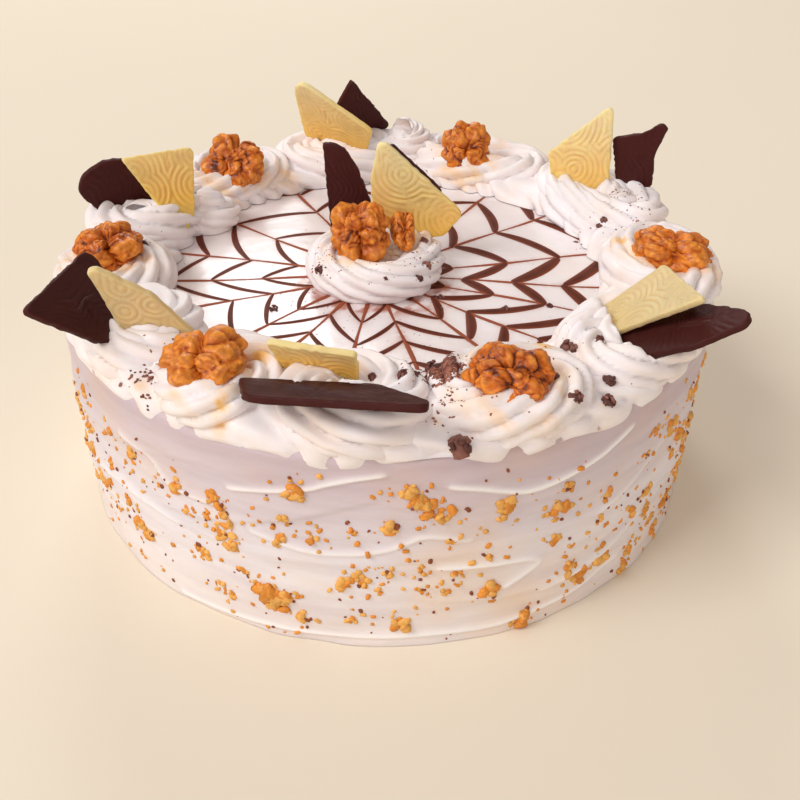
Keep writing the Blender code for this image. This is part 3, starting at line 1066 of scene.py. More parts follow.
@dataclass
class WallNuts:
    """Chopped nuts pressed into the wall: clumps at set places, and loose crumbs that thicken downwards.

    Each clump is given as degrees from the front, millimetres up and its size in millimetres.
    """

    clumps: tuple = (
        (-42, 55, 3.3), (-44, 45, 1.2), (-40, 47, 1.6), (-36, 50, 2.0), (-32, 53, 3.2), (-25, 54, 3.7),
        (-31, 44, 1.6), (-46, 30, 2.4), (-51, 18, 1.8), (-43, 24, 4.1), (-41, 20, 3.8), (-27, 47, 1.6),
        (-23, 46, 3.3), (-25, 40, 2.9), (-29, 28, 2.9), (-23, 36, 3.7), (-22, 26, 2.0), (-26, 14, 2.4),
        (-24, 11, 2.0), (-12, 65, 3.7), (-14, 54, 2.4), (-15, 44, 2.9), (-10, 48, 2.9), (-4, 51, 2.0),
        (1, 53, 3.7), (4, 67, 3.7), (7, 63, 4.1), (9, 59, 3.4), (-17, 19, 5.4), (-15, 18, 4.9),
        (-12, 11, 3.3), (-19, 20, 3.3), (-5, 28, 3.7), (-3, 32, 2.4), (-2, 30, 2.4), (1, 34, 2.4),
        (-4, 12, 2.4), (3, 9, 3.7), (4, 40, 1.6), (6, 36, 2.0), (6, 25, 2.0), (18, 57, 4.5), (28, 50, 4.1),
        (29, 58, 2.4), (25, 50, 2.4), (28, 37, 2.4), (37, 47, 2.4), (44, 32, 3.3), (48, 35, 3.3),
        (46, 55, 2.0), (53, 57, 3.7), (62, 39, 3.3), (63, 28, 3.3), (59, 16, 3.3), (55, 8, 3.3),
        (16, 37, 2.4), (11, 32, 2.4), (17, 23, 4.1), (10, 23, 2.0), (10, 47, 2.0), (33, 14, 3.7),
        (31, 22, 2.9), (38, 18, 3.7), (45, 4, 2.6), (46, 10, 3.0), (23, 4, 3.8), (36, 38, 2.0),
        (-60, 36, 3.4), (-64, 52, 3.0), (-58, 62, 2.6), (-62, 20, 3.4), (66, 58, 3.0), (-66, 45, 3.0),
        (-58, 46, 2.6), (-55, 26, 3.2), (-52, 30, 2.4), (-50, 42, 2.2), (-67, 28, 2.6), (-48, 58, 2.4),
        (58, 48, 3.4), (64, 46, 3.2), (68, 39, 3.2), (66, 20, 3.2), (60, 29, 2.8), (56, 43, 2.4),
        (52, 18, 2.8), (70, 10, 3.0), (50, 26, 2.4), (48, 62, 2.4), (60, 64, 2.8), (70, 66, 3.0),
    )
    loose: int = 330
    behind: int = 76
    grain: float = 0.00065
    lump: float = 0.00225

    def spots(self) -> tuple[np.ndarray, np.ndarray]:
        """Lays out all crumbs: a clump is a huddle of lumps with small ones by it.

        Returns:
            (n, 2) degrees from the front and millimetres up, and the (n,) half-widths in metres.
        """
        draw = np.random.default_rng(21)
        heads = list(self.clumps)
        for number in range(self.behind):
            angle = 74 + 212 * ((number * 0.618) % 1.0)
            heads.append((angle, 6 + 62 * draw.random() ** 1.3, draw.uniform(1.8, 4.2)))
        rows = []
        for angle, z, size in heads:
            lumps = (int(2 + 1.5 * size), 0.42 * size, 0.34 * size, 0.60 * size)
            bits = (int(2 + 1.8 * size), 2.0 + 0.9 * size, 0.35, 1.15)
            for count, spread, least, most in (lumps, bits):
                for _ in range(count):
                    away = draw.normal(size=2) * spread
                    turn = math.degrees(away[0] * MM / CAKE_RADIUS)
                    rows.append((angle + turn, z + away[1], draw.uniform(least, most)))
        for _ in range(self.loose):
            angle = draw.uniform(0, 360)
            z = 1.5 + 70 * draw.random() ** 2.1
            rows.append((angle, z, draw.uniform(0.25, 0.85) * (1.5 if z < 7 else 1.0)))
        table = np.array(rows)
        table[:, 1] = np.clip(table[:, 1], 1.2, 72)
        return table[:, :2], table[:, 2] * MM

    def build(self, body: CakeBody) -> None:
        """Sets the crumbs into the wall; the larger one is, the finer its facets are.

        Args:
            body: the cake that they are pressed into.
        """
        spots, sizes = self.spots()
        draw = np.random.default_rng(22)
        angle = np.radians(spots[:, 0] - 90)
        z = spots[:, 1] * MM
        reach = body.radius + body.relief(angle, z) + 0.06 * sizes
        normals = around(1.0, angle, 0.0)
        places = normals * reach[:, None]
        places[:, 2] = np.maximum(z, 0.75 * sizes)
        light, deep, skin = (np.array(linear(c)) for c in ((252, 190, 96), (244, 158, 54), (150, 76, 38)))
        pick = draw.random((len(z), 1)) + np.where(sizes > 0.0009, -0.12, 0.16)[:, None]
        tones = np.where(pick < 0.46, light, np.where(pick < 0.84, deep, skin))
        tones = tones * draw.uniform(0.84, 1.06, (len(z), 1))
        tones[:, 3] = 1.0
        small = sizes <= self.grain
        large = sizes > self.lump
        sorts = {"nut_lumps": (2, large), "nut_crumbs": (1, ~large & ~small), "nut_grains": (0, small)}
        for name, (level, chosen) in sorts.items():
            maker = Crumbs(name, NUT_CRUMBS, Slot.WALNUT, level, 31 + level)
            maker.build(places[chosen], normals[chosen], sizes[chosen], tones[chosen])


# --- fondant and its web ---


@dataclass
class Web:
    """Rings of chocolate drawn into cusps by a needle dragged out and in by turns."""

    centre: tuple = (-0.005, -0.008)
    outward: tuple = (13, 341, 306, 265, 227, 186, 144, 96, 58)
    inward: tuple = (355, 321, 283, 244, 204, 168, 115, 77, 39)
    rings: tuple = (0.022, 0.040, 0.060, 0.0785, 0.096)
    pull: float = 0.0088
    drawn: tuple = (0.016, 0.112)
    hidden: float = 0.1165
    rim: float = 0.1172
    along: int = 28

    def drags(self) -> list[tuple[float, int]]:
        """Angle in radians and sense (+1 out, -1 in) of each drag, in order round the web."""
        rows = [(math.radians(a), 1) for a in self.outward] + [(math.radians(a), -1) for a in self.inward]
        return sorted(rows)

    def ring_radius(self, base: float, angle: np.ndarray) -> np.ndarray:
        """Mean radius of a ring, which is wider towards the back: base (1 + 0.067 cos + 0.26 sin)."""
        return base * (1 + 0.067 * np.cos(angle) + 0.26 * np.sin(angle))

    def curves(self) -> tuple[np.ndarray, np.ndarray, np.ndarray]:
        """Lays out the rings and the drags.

        Returns:
            Centre lines (n, along, 2), their half-widths (n, along) and their tints (n,).
        """
        drags = self.drags()
        u = np.linspace(0, 1, self.along)
        lines, widths, tints = [], [], []
        draw = np.random.default_rng(8)
        for base in self.rings:
            for index, (start, sense) in enumerate(drags):
                end, other = drags[(index + 1) % len(drags)]
                end += TAU if end < start else 0.0
                angle = start + (end - start) * u
                pull = self.pull * (0.62 + 0.38 * min(1.0, base / 0.05))
                shift = pull * (sense * (1 - u) ** 2.1 + other * u**2.1)
                radius = self.ring_radius(base, angle) + shift + 0.0005 * draw.normal()
                lines.append(around(radius, angle, 0.0)[..., :2] + self.centre)
                middle = (start + end) / 2
                heavy = 0.00122 + 0.00145 * max(0.0, math.cos(middle)) + 0.00030 * math.sin(middle)
                heavy *= 0.75 + 0.25 * base / 0.06
                bulge = 0.26 + 0.74 * np.sin(np.pi * np.clip(u, 0, 1)) ** 0.45
                widths.append(heavy * bulge * draw.uniform(0.85, 1.12))
                tints.append(0.0)
        for angle, sense in drags:
            reach = np.linspace(*self.drawn, self.along)
            bend = angle + 0.012 * np.sin(reach / 0.013 + 7 * angle)
            lines.append(around(reach, bend, 0.0)[..., :2] + self.centre)
            ends = np.clip((self.drawn[1] - reach) / 0.03, 0.25, 1.0)
            widths.append(0.00066 * ends * (1.0 + 0.35 * np.sin(reach / 0.0065 + angle)))
            tints.append(0.85)
        return np.array(lines), np.array(widths), np.array(tints)

    def build(self) -> Piece:
        """Low domed ribbons along the centre lines, kept inside the fondant's rim.

        Returns:
            The finished piece.
        """
        lines, widths, tints = self.curves()
        ahead = unit(np.gradient(lines, axis=1), 1e-12)
        across = np.stack([-ahead[..., 1], ahead[..., 0]], axis=-1)
        share = np.array([-1.0, -0.72, 0.0, 0.72, 1.0])
        widths = np.where(np.linalg.norm(lines, axis=-1) < self.hidden, widths, 0.00002)
        flat = lines[:, :, None] + across[:, :, None] * (widths[..., None] * share)[..., None]
        over = np.linalg.norm(flat, axis=-1, keepdims=True)
        flat = flat * np.minimum(1.0, self.rim / over)
        rise = 0.00008 + np.minimum(0.00024, 0.18 * widths)[..., None] * (1 - share**2)
        points = np.concatenate([flat, (CAKE_HEIGHT + rise)[..., None]], axis=-1).reshape(-1, 3)
        count, along = lines.shape[:2]
        quads = grid_quads(along, len(share), wrap=False)
        index = quads[None] + (np.arange(count) * along * len(share))[:, None, None]
        fringe = np.where(tints[:, None, None] < 0.5, 0.75 * np.abs(share) ** 4, 0.0)
        tint = np.broadcast_to(tints[:, None, None] + fringe, (count, along, len(share)))
        faces = [index.reshape(-1, 4)[:, ::-1]]
        values = {"tint": tint.reshape(-1)}
        return Piece("web_lines", points, faces, WEB, Slot.DARK, values=values, closed=False).build()

    def bleed(self, points: np.ndarray) -> np.ndarray:
        """How far the chocolate has bled into the fondant.

        Args:
            points: (n, 2) plan points in metres.

        Returns:
            (n,) shares, 0 to 1.
        """
        lines, _, tints = self.curves()
        drawn = lines[tints > 0.5].reshape(-1, 2)
        rings = lines[tints < 0.5].reshape(-1, 2)
        out = np.zeros(len(points))
        step = 1500
        for start in range(0, len(points), step):
            part = points[start : start + step]
            gaps = [((part[:, None] - line[None]) ** 2).sum(-1).min(1) for line in (drawn, rings)]
            near, ring = np.sqrt(gaps)
            tinge = 0.70 * np.exp(-((near / 0.0013) ** 1.4))
            out[start : start + step] = tinge + 0.30 * np.exp(-((ring / 0.0024) ** 2))
        patchy = 0.65 + 0.35 * ripple(points, 0.03, 41, 3)
        offset = points - self.centre
        away = np.linalg.norm(offset, axis=1)
        ahead = smooth(0.45 - offset[:, 1] / (away + 1e-9))
        smear = np.exp(-(((away - 0.0285) / 0.0050) ** 2)) * ahead
        smear *= smooth(0.35 + 1.3 * ripple(points, 0.014, 43, 3))
        return np.clip(out * patchy + 0.8 * smear, 0, 0.92)


@dataclass
class Fondant:
    """The poured disc on the cake, with a softly rounded rim and a faint swell."""

    radius: float = 0.118
    thick: float = 0.0020
    edge: float = 0.0005
    columns: int = 300
    rows: int = 88

    def build(self, web: Web) -> Piece:
        """The top in rings, then the rim.

        Args:
            web: the web that stains it.

        Returns:
            The finished piece.
        """
        angle = full_turn(self.columns)
        share = np.linspace(0.004, 1.0, self.rows) ** 0.9
        reach, heading = np.meshgrid(share * (self.radius - self.edge), angle, indexing="ij")
        top = around(reach, heading, CAKE_HEIGHT)
        top[..., 2] += 0.00003 * ripple(top[..., :2], 0.05, 42, 2)
        rim = [around(self.radius, angle, CAKE_HEIGHT - depth)[None] for depth in (self.edge, self.thick)]
        points, faces = capped(np.concatenate([top, *rim]))
        values = {"stain": web.bleed(points[:, :2])}
        return Piece("fondant", points, faces, FONDANT, Slot.FONDANT, ("fondant_top",), values=values).build()


# --- piped cream ---


CREAM_FLOOR = CAKE_HEIGHT + 0.0003


def pressed(points: np.ndarray) -> np.ndarray:
    """Pushes cream down to just under each lying shard, easing off over 3 mm round its outline.

    Args:
        points: (..., 3) points of the cream.

    Returns:
        The moved points.
    """
    out = points.copy()
    for name in ("shard_e_dark", "shard_e_white"):
        spec = SHARDS[name]
        basis = spec.basis()
        local = (out - np.array(spec.place) * MM) @ basis.T
        over = (local[..., 2] + 0.0016) / basis[2, 2]
        foot = local[..., :2] - over[..., None] * basis[:2, 2]
        near = 1 - smooth(spec.beyond(foot) / 0.003)
        out[..., 2] -= np.maximum(over, 0) * near
    lowered = np.maximum(out[..., 2], CREAM_FLOOR)
    out[..., 2] = np.where(out[..., 2] < points[..., 2], lowered, points[..., 2])
    return out


# Amber drips and smears on the cream: x, y and radius in millimetres, then strength.
STAINS = (
    (-37.9, -89.8, 4.5, 1.5), (-75.4, -96.6, 3.0, 0.7), (-47.7, -112.5, 2.6, 1.2), (50.6, -79.6, 4.0, 1.5),
    (90.3, -1.2, 4.0, 1.5), (67.4, -100.8, 2.6, 1.0), (33.0, -111.2, 2.4, 0.8), (8.1, -115.0, 2.0, 0.8),
    (17.6, -114.7, 2.0, 0.6), (-117.0, -25.9, 4.0, 1.4), (-48.1, 72.8, 7.0, 0.6), (51.8, 104.6, 5.0, 0.6),
)


def amber_stain(points: np.ndarray) -> np.ndarray:
    """Amber stain round each walnut, fading over a few millimetres, with drips and faint patches elsewhere.

    Args:
        points: (n, 3) points of the cream.

    Returns:
        (n,) strengths.
    """
    out = 0.15 * smooth(ripple(points, 0.045, 92, 2) - 0.1)
    for spec in WALNUTS.values():
        away = np.linalg.norm((points - spec.place) / (max(spec.halves) * np.array([1, 1, 1.3])), axis=1)
        near = np.exp(-((np.maximum(away - 0.85, 0) / 0.42) ** 2))
        out = np.maximum(out, 0.75 * near * smooth(0.45 + 0.9 * ripple(points, 0.020, 91, 2)))
    for x, y, radius, strength in STAINS:
        away = np.hypot(points[:, 0] - x * MM, points[:, 1] - y * MM) / (radius * MM)
        patchy = smooth(0.75 + 0.9 * ripple(points, 0.010, 93, 2))
        out = np.maximum(out, strength * np.exp(-(away**2)) * patchy)
    return out


@dataclass
class CreamBed:
    """The low ring of cream under the dollops, which closes the gaps between them and covers the edge."""

    radius: float = 0.1040
    half_width: float = 0.0210
    height: float = 0.0088
    columns: int = 480
    across: int = 26

    def build(self) -> Piece:
        """Half an ellipse swept round the rim, scored by slanting flutes, with a skirt down the wall.

        Returns:
            The finished piece.
        """
        share = np.concatenate([np.linspace(-1.0, -0.2, 5), np.linspace(0.0, 1.0, self.across)])
        angle, share = np.meshgrid(full_turn(self.columns), share, indexing="ij")
        round_ = around(1.0, angle, 0.0)[..., :2]
        phi = math.pi * np.maximum(share, 0)
        wave = np.abs(np.sin(23 * angle + 2.6 * ripple(round_, 1.1, 33, 2) + 3.4 * phi)) ** 0.6
        deep = (0.11 + 0.07 * ripple(round_, 0.5, 34, 2)) * (0.80 + 0.20 * smooth(phi / 0.9))
        swell = 0.95 - deep + deep * 1.6 * wave + 0.03 * ripple(round_, 0.4, 35, 2)
        reach = self.radius + self.half_width * np.cos(phi) * swell
        z = CREAM_FLOOR + self.height * np.sin(phi) ** 0.7 * swell
        fall = np.clip(-share, 0, 1)
        drop = 0.0036 + 0.0022 * ripple(round_, 0.5, 36, 3)
        reach = np.where(share < 0, reach + (CAKE_RADIUS - 0.0012 - reach) * fall**2.2, reach)
        z = np.where(share < 0, CREAM_FLOOR - drop * fall, z)
        points = pressed(around(reach, angle, z).reshape(-1, 3))
        quads = grid_quads(self.columns + 1, share.shape[1], wrap=False) % share.size
        faces = [quads[:, ::-1]]
        stain = {"stain": amber_stain(points)}
        return Piece("cream_bed", points, faces, CREAM, Slot.CREAM, values=stain, closed=False).build()


@dataclass
class Dollop:
    """A rosette of cream from a star nozzle: one fluted rope wound inwards and drawn up to a soft peak."""

    name: str
    node: str
    centre: tuple
    heading: float
    stretch: float
    turns: float = 1.9
    sense: int = 1
    rope: float = 0.0095
    spread: float = 0.0132
    rise: float = 0.0040
    peak: float = 0.0020
    start: float = 0.0
    seed: int = 0
    flutes: int = 8
    twist: float = 9.0
    along: int = 130
    columns: int = 70

    def path(self) -> tuple[np.ndarray, np.ndarray]:
        """Winds the rope.

        Returns:
            Centre line (along, 3) over the dollop's own plane, and the rope's radius along it.
        """
        t = np.linspace(0, 1, self.along)
        angle = self.start + self.sense * TAU * self.turns * t
        ring = self.spread * (1 - smooth((t - 0.46) / 0.56) * 0.95)
        lift = 0.62 * self.rope + self.rise * smooth((t - 0.42) / 0.4) + self.peak * smooth((t - 0.86) / 0.14)
        x, y = self.stretch * ring * np.cos(angle), ring * np.sin(angle)
        size = self.rope * np.sqrt(np.clip(t / 0.06, 0.03, 1.0)) * (1 - 0.12 * t)
        size = size * (1 - 0.93 * smooth((t - 0.84) / 0.16) ** 1.4)
        return np.stack([x, y, lift], axis=-1), size

    def surface(self) -> np.ndarray:
        """The fluted rope in the row frame, before it is pressed flat below.

        Returns:
            Rings (along, columns, 3).
        """
        line, size = self.path()
        ahead = unit(np.gradient(line, axis=0))
        side = unit(np.cross(ahead, [0.0, 0.0, 1.0]), 1e-9)
        up = np.cross(side, ahead)
        phi = full_turn(self.columns)[None]
        t = np.linspace(0, 1, self.along)[:, None]
        twist = self.sense * (self.twist * t + 0.35 * np.sin(6 * t + self.seed))
        wave = np.abs(np.sin(self.flutes * (phi + twist) / 2 + self.seed)) ** 0.62
        uneven = 1 + 0.22 * np.sin(2 * phi + 17 * t + self.seed)
        depth = 0.33 * (1 - 0.75 * smooth((t - 0.72) / 0.2))
        reach = size[:, None] * (1.02 - depth + depth * wave * uneven)
        spoke = np.cos(phi)[..., None] * side[:, None] + np.sin(phi)[..., None] * up[:, None]
        ring = line[:, None] + reach[..., None] * spoke
        turn = math.radians(self.heading)
        x = self.centre[0] + ring[..., 0] * math.cos(turn) - ring[..., 1] * math.sin(turn)
        y = self.centre[1] + ring[..., 0] * math.sin(turn) + ring[..., 1] * math.cos(turn)
        out = np.stack([x, y, CAKE_HEIGHT + ring[..., 2]], axis=-1)
        out[..., 2] += 0.00035 * ripple(out, 0.012, self.seed + 50, 3)
        out[..., :2] *= 1 + (0.0004 * ripple(out, 0.014, self.seed + 70, 3) / 0.1)[..., None]
        return out

    def settle(self, rings: np.ndarray) -> np.ndarray:
        """Presses the underside onto the fondant, and lets it sag a little over the cake's edge.

        Args:
            rings: the rope's rings, which are moved in place.

        Returns:
            The same rings.
        """
        radius = np.linalg.norm(rings[..., :2], axis=-1)
        floor = CAKE_HEIGHT + 0.0002 - 0.0060 * smooth((radius - 0.1215) / 0.005)
        rings[..., 2] = np.maximum(rings[..., 2], floor)
        return rings

    def build(self) -> Piece:
        """The settled rope, stained.

        Returns:
            The finished piece.
        """
        points, faces = capped(pressed(self.settle(self.surface())))
        stain = {"stain": amber_stain(points)}
        nodes = (self.node,) if self.node else ()
        return Piece(self.name, points, faces, CREAM, Slot.CREAM, nodes, values=stain).build()


@dataclass
class Border:
    """Twelve dollops round the rim, a few tall tufts between them and a rosette in the middle.

    Each dollop is given with its angle in degrees, and each tuft as x, y, rope and rise in millimetres.
    """

    radius: float = 0.1048
    angles: tuple = (
        ("walnut_front_left", -119), ("walnut_front_right", -70), ("walnut_right", -8),
        ("walnut_back_right", 69), ("walnut_back_left", 137), ("walnut_left", 192),
        ("shard_a", -140), ("shard_f", -95), ("shard_e", -39),
        ("shard_d", 30), ("shard_c", 102), ("shard_b", 165),
    )
    tufts: tuple = (
        (-99.0, 13.0, 9.0, 5.5), (-76.0, 36.0, 7.2, 6.5), (6.0, 105.5, 9.6, 9.5), (88.0, 36.0, 7.2, 4.0),
        (2.0, -3.0, 6.6, 1.0),
    )

    def sectors(self) -> list[tuple[str, float, float]]:
        """Shares out the rim: neighbours meet halfway.

        Returns:
            Node name, middle angle and half-angle in radians of each dollop.
        """
        rows = sorted(self.angles, key=lambda row: row[1] % 360)
        out = []
        for index, (name, angle) in enumerate(rows):
            before = (angle - rows[index - 1][1]) % 360
            after = (rows[(index + 1) % len(rows)][1] - angle) % 360
            middle = angle + (after - before) / 4
            out.append(("swirl_" + name, math.radians(middle), math.radians((before + after) / 4)))
        return out

    def build(self) -> list[Piece]:
        """Pipes the bed, the dollops, the rosette and the tufts.

        Returns:
            The finished pieces.
        """
        made = [CreamBed().build()]
        for index, (name, middle, half) in enumerate(self.sectors()):
            walnut = "walnut" in name
            tall = (0.0112, 0.0048) if name == "swirl_shard_b" else (0.0098, 0.0012)
            length = half * self.radius + 0.0030
            dollop = Dollop(
                name=name.replace("swirl", "dollop"),
                node=name,
                centre=(self.radius * math.cos(middle), self.radius * math.sin(middle)),
                heading=math.degrees(middle) + 90,
                stretch=max(0.9, (length - Dollop.rope) / Dollop.spread),
                sense=-1 if index % 2 else 1,
                rope=0.0095 if walnut else tall[0],
                rise=-0.0015 if walnut else tall[1],
                peak=0.0 if walnut else 0.0012,
                start=1.7 * index + 0.6,
                seed=index + 1,
                twist=13.0 + 3.5 * math.sin(2.1 * index),
            )
            made.append(dollop.build())
        centre = Dollop(
            "rosette", "rosette_centre", (-0.005, -0.008), 20, 1.0, turns=2.0, rope=0.0089, spread=0.0186,
            rise=0.0006, peak=0.0, start=5.2, seed=30, twist=13.0, flutes=9,
        )
        made.append(centre.build())
        for number, (x, y, rope, rise) in enumerate(self.tufts):
            tuft = Dollop(
                f"tuft_{number}", "", (x * MM, y * MM), 40 * number, 1.0, turns=1.7, rope=rope * MM,
                spread=0.0054, rise=rise * MM, peak=0.0030, start=1.9 * number, seed=50 + number, twist=6.0,
                along=90, columns=56,
            )
            made.append(tuft.build())
        return made


@dataclass(frozen=True)
class Cluster:
    """Crumbs scattered round a place on the top, in millimetres."""

    x: float
    y: float
    spread: float
    count: int
    size: float


@dataclass
class CrumbFall:
    """Chocolate crumbs and cocoa dropped from above onto the cream and the fondant."""

    name: str
    clusters: tuple
    seed: int
    level: int = 1
    grains: int = 15
    above: float = 0.2
    tones: tuple = ((112, 64, 56), (88, 48, 42), (142, 92, 80))

    def build(self, grounds: list[Piece]) -> Piece:
        """Each crumb lands where a vertical line through it first meets the cream or the fondant.

        Args:
            grounds: the pieces that it may land on.

        Returns:
            The finished piece.
        """
        points, polygons, start = [], [], 0
        for piece in grounds:
            points += piece.points.tolist()
            polygons += [[start + corner for corner in face] for face in piece.polygons()]
            start += len(piece.points)
        tree = BVHTree.FromPolygons(points, polygons)
        draw = np.random.default_rng(self.seed)
        places, normals, sizes = [], [], []
        for cluster in self.clusters:
            for _ in range(cluster.count):
                spot = draw.normal(size=2) * cluster.spread * MM + np.array([cluster.x, cluster.y]) * MM
                hit, normal, _, _ = tree.ray_cast(Vector((*spot, self.above)), Vector((0, 0, -1)))
                if hit is None:
                    continue
                size = cluster.size * MM * (draw.uniform(0.55, 1.25) if cluster.spread else 1.15)
                spot = np.array(hit) + np.array(normal) * 0.25 * size
                grains = 0 if cluster.spread else self.grains
                outward = unit(draw.normal(size=(grains, 3)), 1e-9)
                places += [spot, *(spot + outward * 0.82 * size)]
                normals += [np.array(normal), *outward]
                sizes += [size, *(draw.uniform(0.22, 0.42, grains) * size)]
        tone = np.array([linear(c) for c in self.tones])
        tones = tone[draw.integers(0, 3, len(sizes))] * draw.uniform(0.8, 1.15, (len(sizes), 1))
        tones[:, 3] = 1.0
        maker = Crumbs(self.name, DARK_CRUMBS, Slot.DARK, self.level, self.seed)
        return maker.build(np.array(places), np.array(normals), np.array(sizes), tones)


LARGE_CRUMBS = tuple(
    Cluster(x, y, 0.0, 1, size)
    for x, y, size in (
        (59.7, -80.3, 2.4), (70.6, -93.2, 2.1), (69.5, -101.1, 2.1), (58.0, -107.9, 2.0), (23.0, -122.5, 3.1),
        (6.1, -101.5, 1.9), (10.1, -96.8, 1.8), (16.3, -93.5, 2.6), (13.6, -95.0, 2.2), (52.7, -100.5, 1.4),
        (62.6, -110.4, 1.0), (69.0, -80.0, 1.4), (-106.6, -2.1, 1.5), (-3.0, -99.9, 1.4), (-41.0, -36.6, 1.9),
        (20.0, -26.2, 1.7), (43.7, -33.8, 1.5), (60.6, -31.0, 1.3), (78.2, 24.5, 0.9), (86.9, 23.8, 1.2),
        (-92.7, -12.2, 1.6), (19.8, -34.6, 1.2), (13.7, -7.0, 1.5), (15.0, -21.7, 1.6), (12.0, -27.6, 1.6),
        (-25.3, -24.0, 1.8), (-0.3, -33.0, 0.8), (88.6, 24.9, 1.4), (-62.0, 84.3, 1.0), (14.8, 81.2, 1.2),
    )
)
COCOA = tuple(
    Cluster(*row)
    for row in (
        (19.0, -96.5, 2.5, 460, 0.85), (17.0, -95.0, 4.6, 190, 0.5), (19.5, -111.0, 2.6, 34, 0.5),
        (-72.1, -90.4, 4.0, 44, 0.6), (-74.9, -97.0, 5.0, 34, 0.5), (101.3, 23.3, 4.5, 40, 0.5),
        (98.6, 40.0, 4.5, 44, 0.5), (-25.0, -20.0, 4.0, 40, 0.5), (14.0, -18.0, 5.0, 44, 0.5),
        (-92.0, -10.0, 4.0, 22, 0.45), (-5.0, -35.0, 16.0, 60, 0.35), (60.0, -85.0, 14.0, 40, 0.4),
        (-60.0, 84.0, 5.0, 16, 0.5), (80.0, 22.0, 5.0, 14, 0.4), (-30.0, -30.0, 8.0, 40, 0.4),
        (30.0, -118.0, 8.0, 18, 0.4), (14.8, 81.2, 5.0, 16, 0.4), (0.0, 0.0, 60.0, 110, 0.3),
    )
)


# --- walnuts ---


@dataclass
class Walnut:
    """A walnut half: folded lobes either side of a groove, wrapped round a core."""

    name: str
    spec: WalnutSpec
    columns: int = 124
    rows: int = 68

    def lobes(self) -> tuple[np.ndarray, np.ndarray]:
        """Lays out the lobes in shares of the half-lengths.

        Returns:
            Their centres (n, 3) and radii (n,).
        """
        draw = np.random.default_rng(100 + self.spec.seed)
        rows = [(0.0, 0.0, -0.12, 0.60)]
        for side in (-1, 1):
            for y in (-0.52, 0.0, 0.52):
                rows.append((side * 0.46, y, 0.20, 0.40))
            for y in (-0.30, 0.34):
                rows.append((side * 0.72, y, -0.02, 0.32))
            for y in (-0.26, 0.30):
                rows.append((side * 0.30, y, 0.48, 0.30))
            rows.append((side * 0.26, -0.74, -0.05, 0.28))
            rows.append((side * 0.26, 0.74, -0.05, 0.28))
            rows.append((side * 0.55, 0.0, -0.42, 0.42))
        table = np.array(rows)
        table[1:, :3] += draw.normal(scale=0.055, size=(len(table) - 1, 3))
        table[1:, 3] *= draw.uniform(0.86, 1.14, len(table) - 1)
        return table[:, :3], table[:, 3]

    def build(self) -> Piece:
        """A skin over the lobes, wrinkled and turned into its place.

        Returns:
            The finished piece.
        """
        down = np.linspace(0.03, math.pi - 0.03, self.rows)
        polar, azimuth = np.meshgrid(down, full_turn(self.columns), indexing="ij")
        way = around(np.sin(polar), azimuth, np.cos(polar))
        centres, radii = self.lobes()
        wander = 0.13 * np.stack([ripple(way, 0.9, self.spec.seed + k, 2) for k in (1, 2, 3)], axis=-1)
        bent = unit(way + wander)
        along = bent @ centres.T
        under = radii**2 - (centres**2).sum(axis=1) + along**2
        exits = np.maximum(np.where(under > 0, along + np.sqrt(np.maximum(under, 0)), 0.0), 0.0)
        ordered = np.sort(exits, axis=-1)
        sharp = 26
        reach = np.log(np.exp(exits * sharp).sum(axis=-1)) / sharp
        gap = np.clip((ordered[..., -1] - ordered[..., -2]) / 0.16, 0, 1)
        folds = np.abs(ripple(bent, 0.62, self.spec.seed + 9, 2)) ** 0.6
        wrinkle = np.abs(ripple(bent, 0.26, self.spec.seed + 19, 2)) ** 0.7
        reach = reach + 0.105 * folds + 0.030 * wrinkle - 0.07
        # Painted shade and light: darker where two lobes meet and where the skin lies deep, lighter on the
        # outer crests; roast is each kernel's own darker tone.
        kernel_tone_and_shade = 0.62 * gap**0.5 + 0.55 * folds + 0.22 * wrinkle + 0.7 * (reach - 0.92) - 0.10
        kernel_tone_and_shade = np.clip(kernel_tone_and_shade - self.spec.roast, 0, 1)
        body = way * reach[..., None]
        body *= np.array(self.spec.halves) / np.abs(body).reshape(-1, 3).max(axis=0)
        rings = body @ turn_matrix(*self.spec.turn).T + np.array(self.spec.place)
        points, faces = capped(rings)
        kernel_tone_and_shade = np.concatenate([kernel_tone_and_shade.reshape(-1), [kernel_tone_and_shade[0].mean(), kernel_tone_and_shade[-1].mean()]])
        name = self.name + "_kernel"
        values = {"kernel_tone_and_shade": kernel_tone_and_shade}
        return Piece(name, points, faces, WALNUT, Slot.WALNUT, (self.name,), values=values).build()


# --- chocolate shards ---


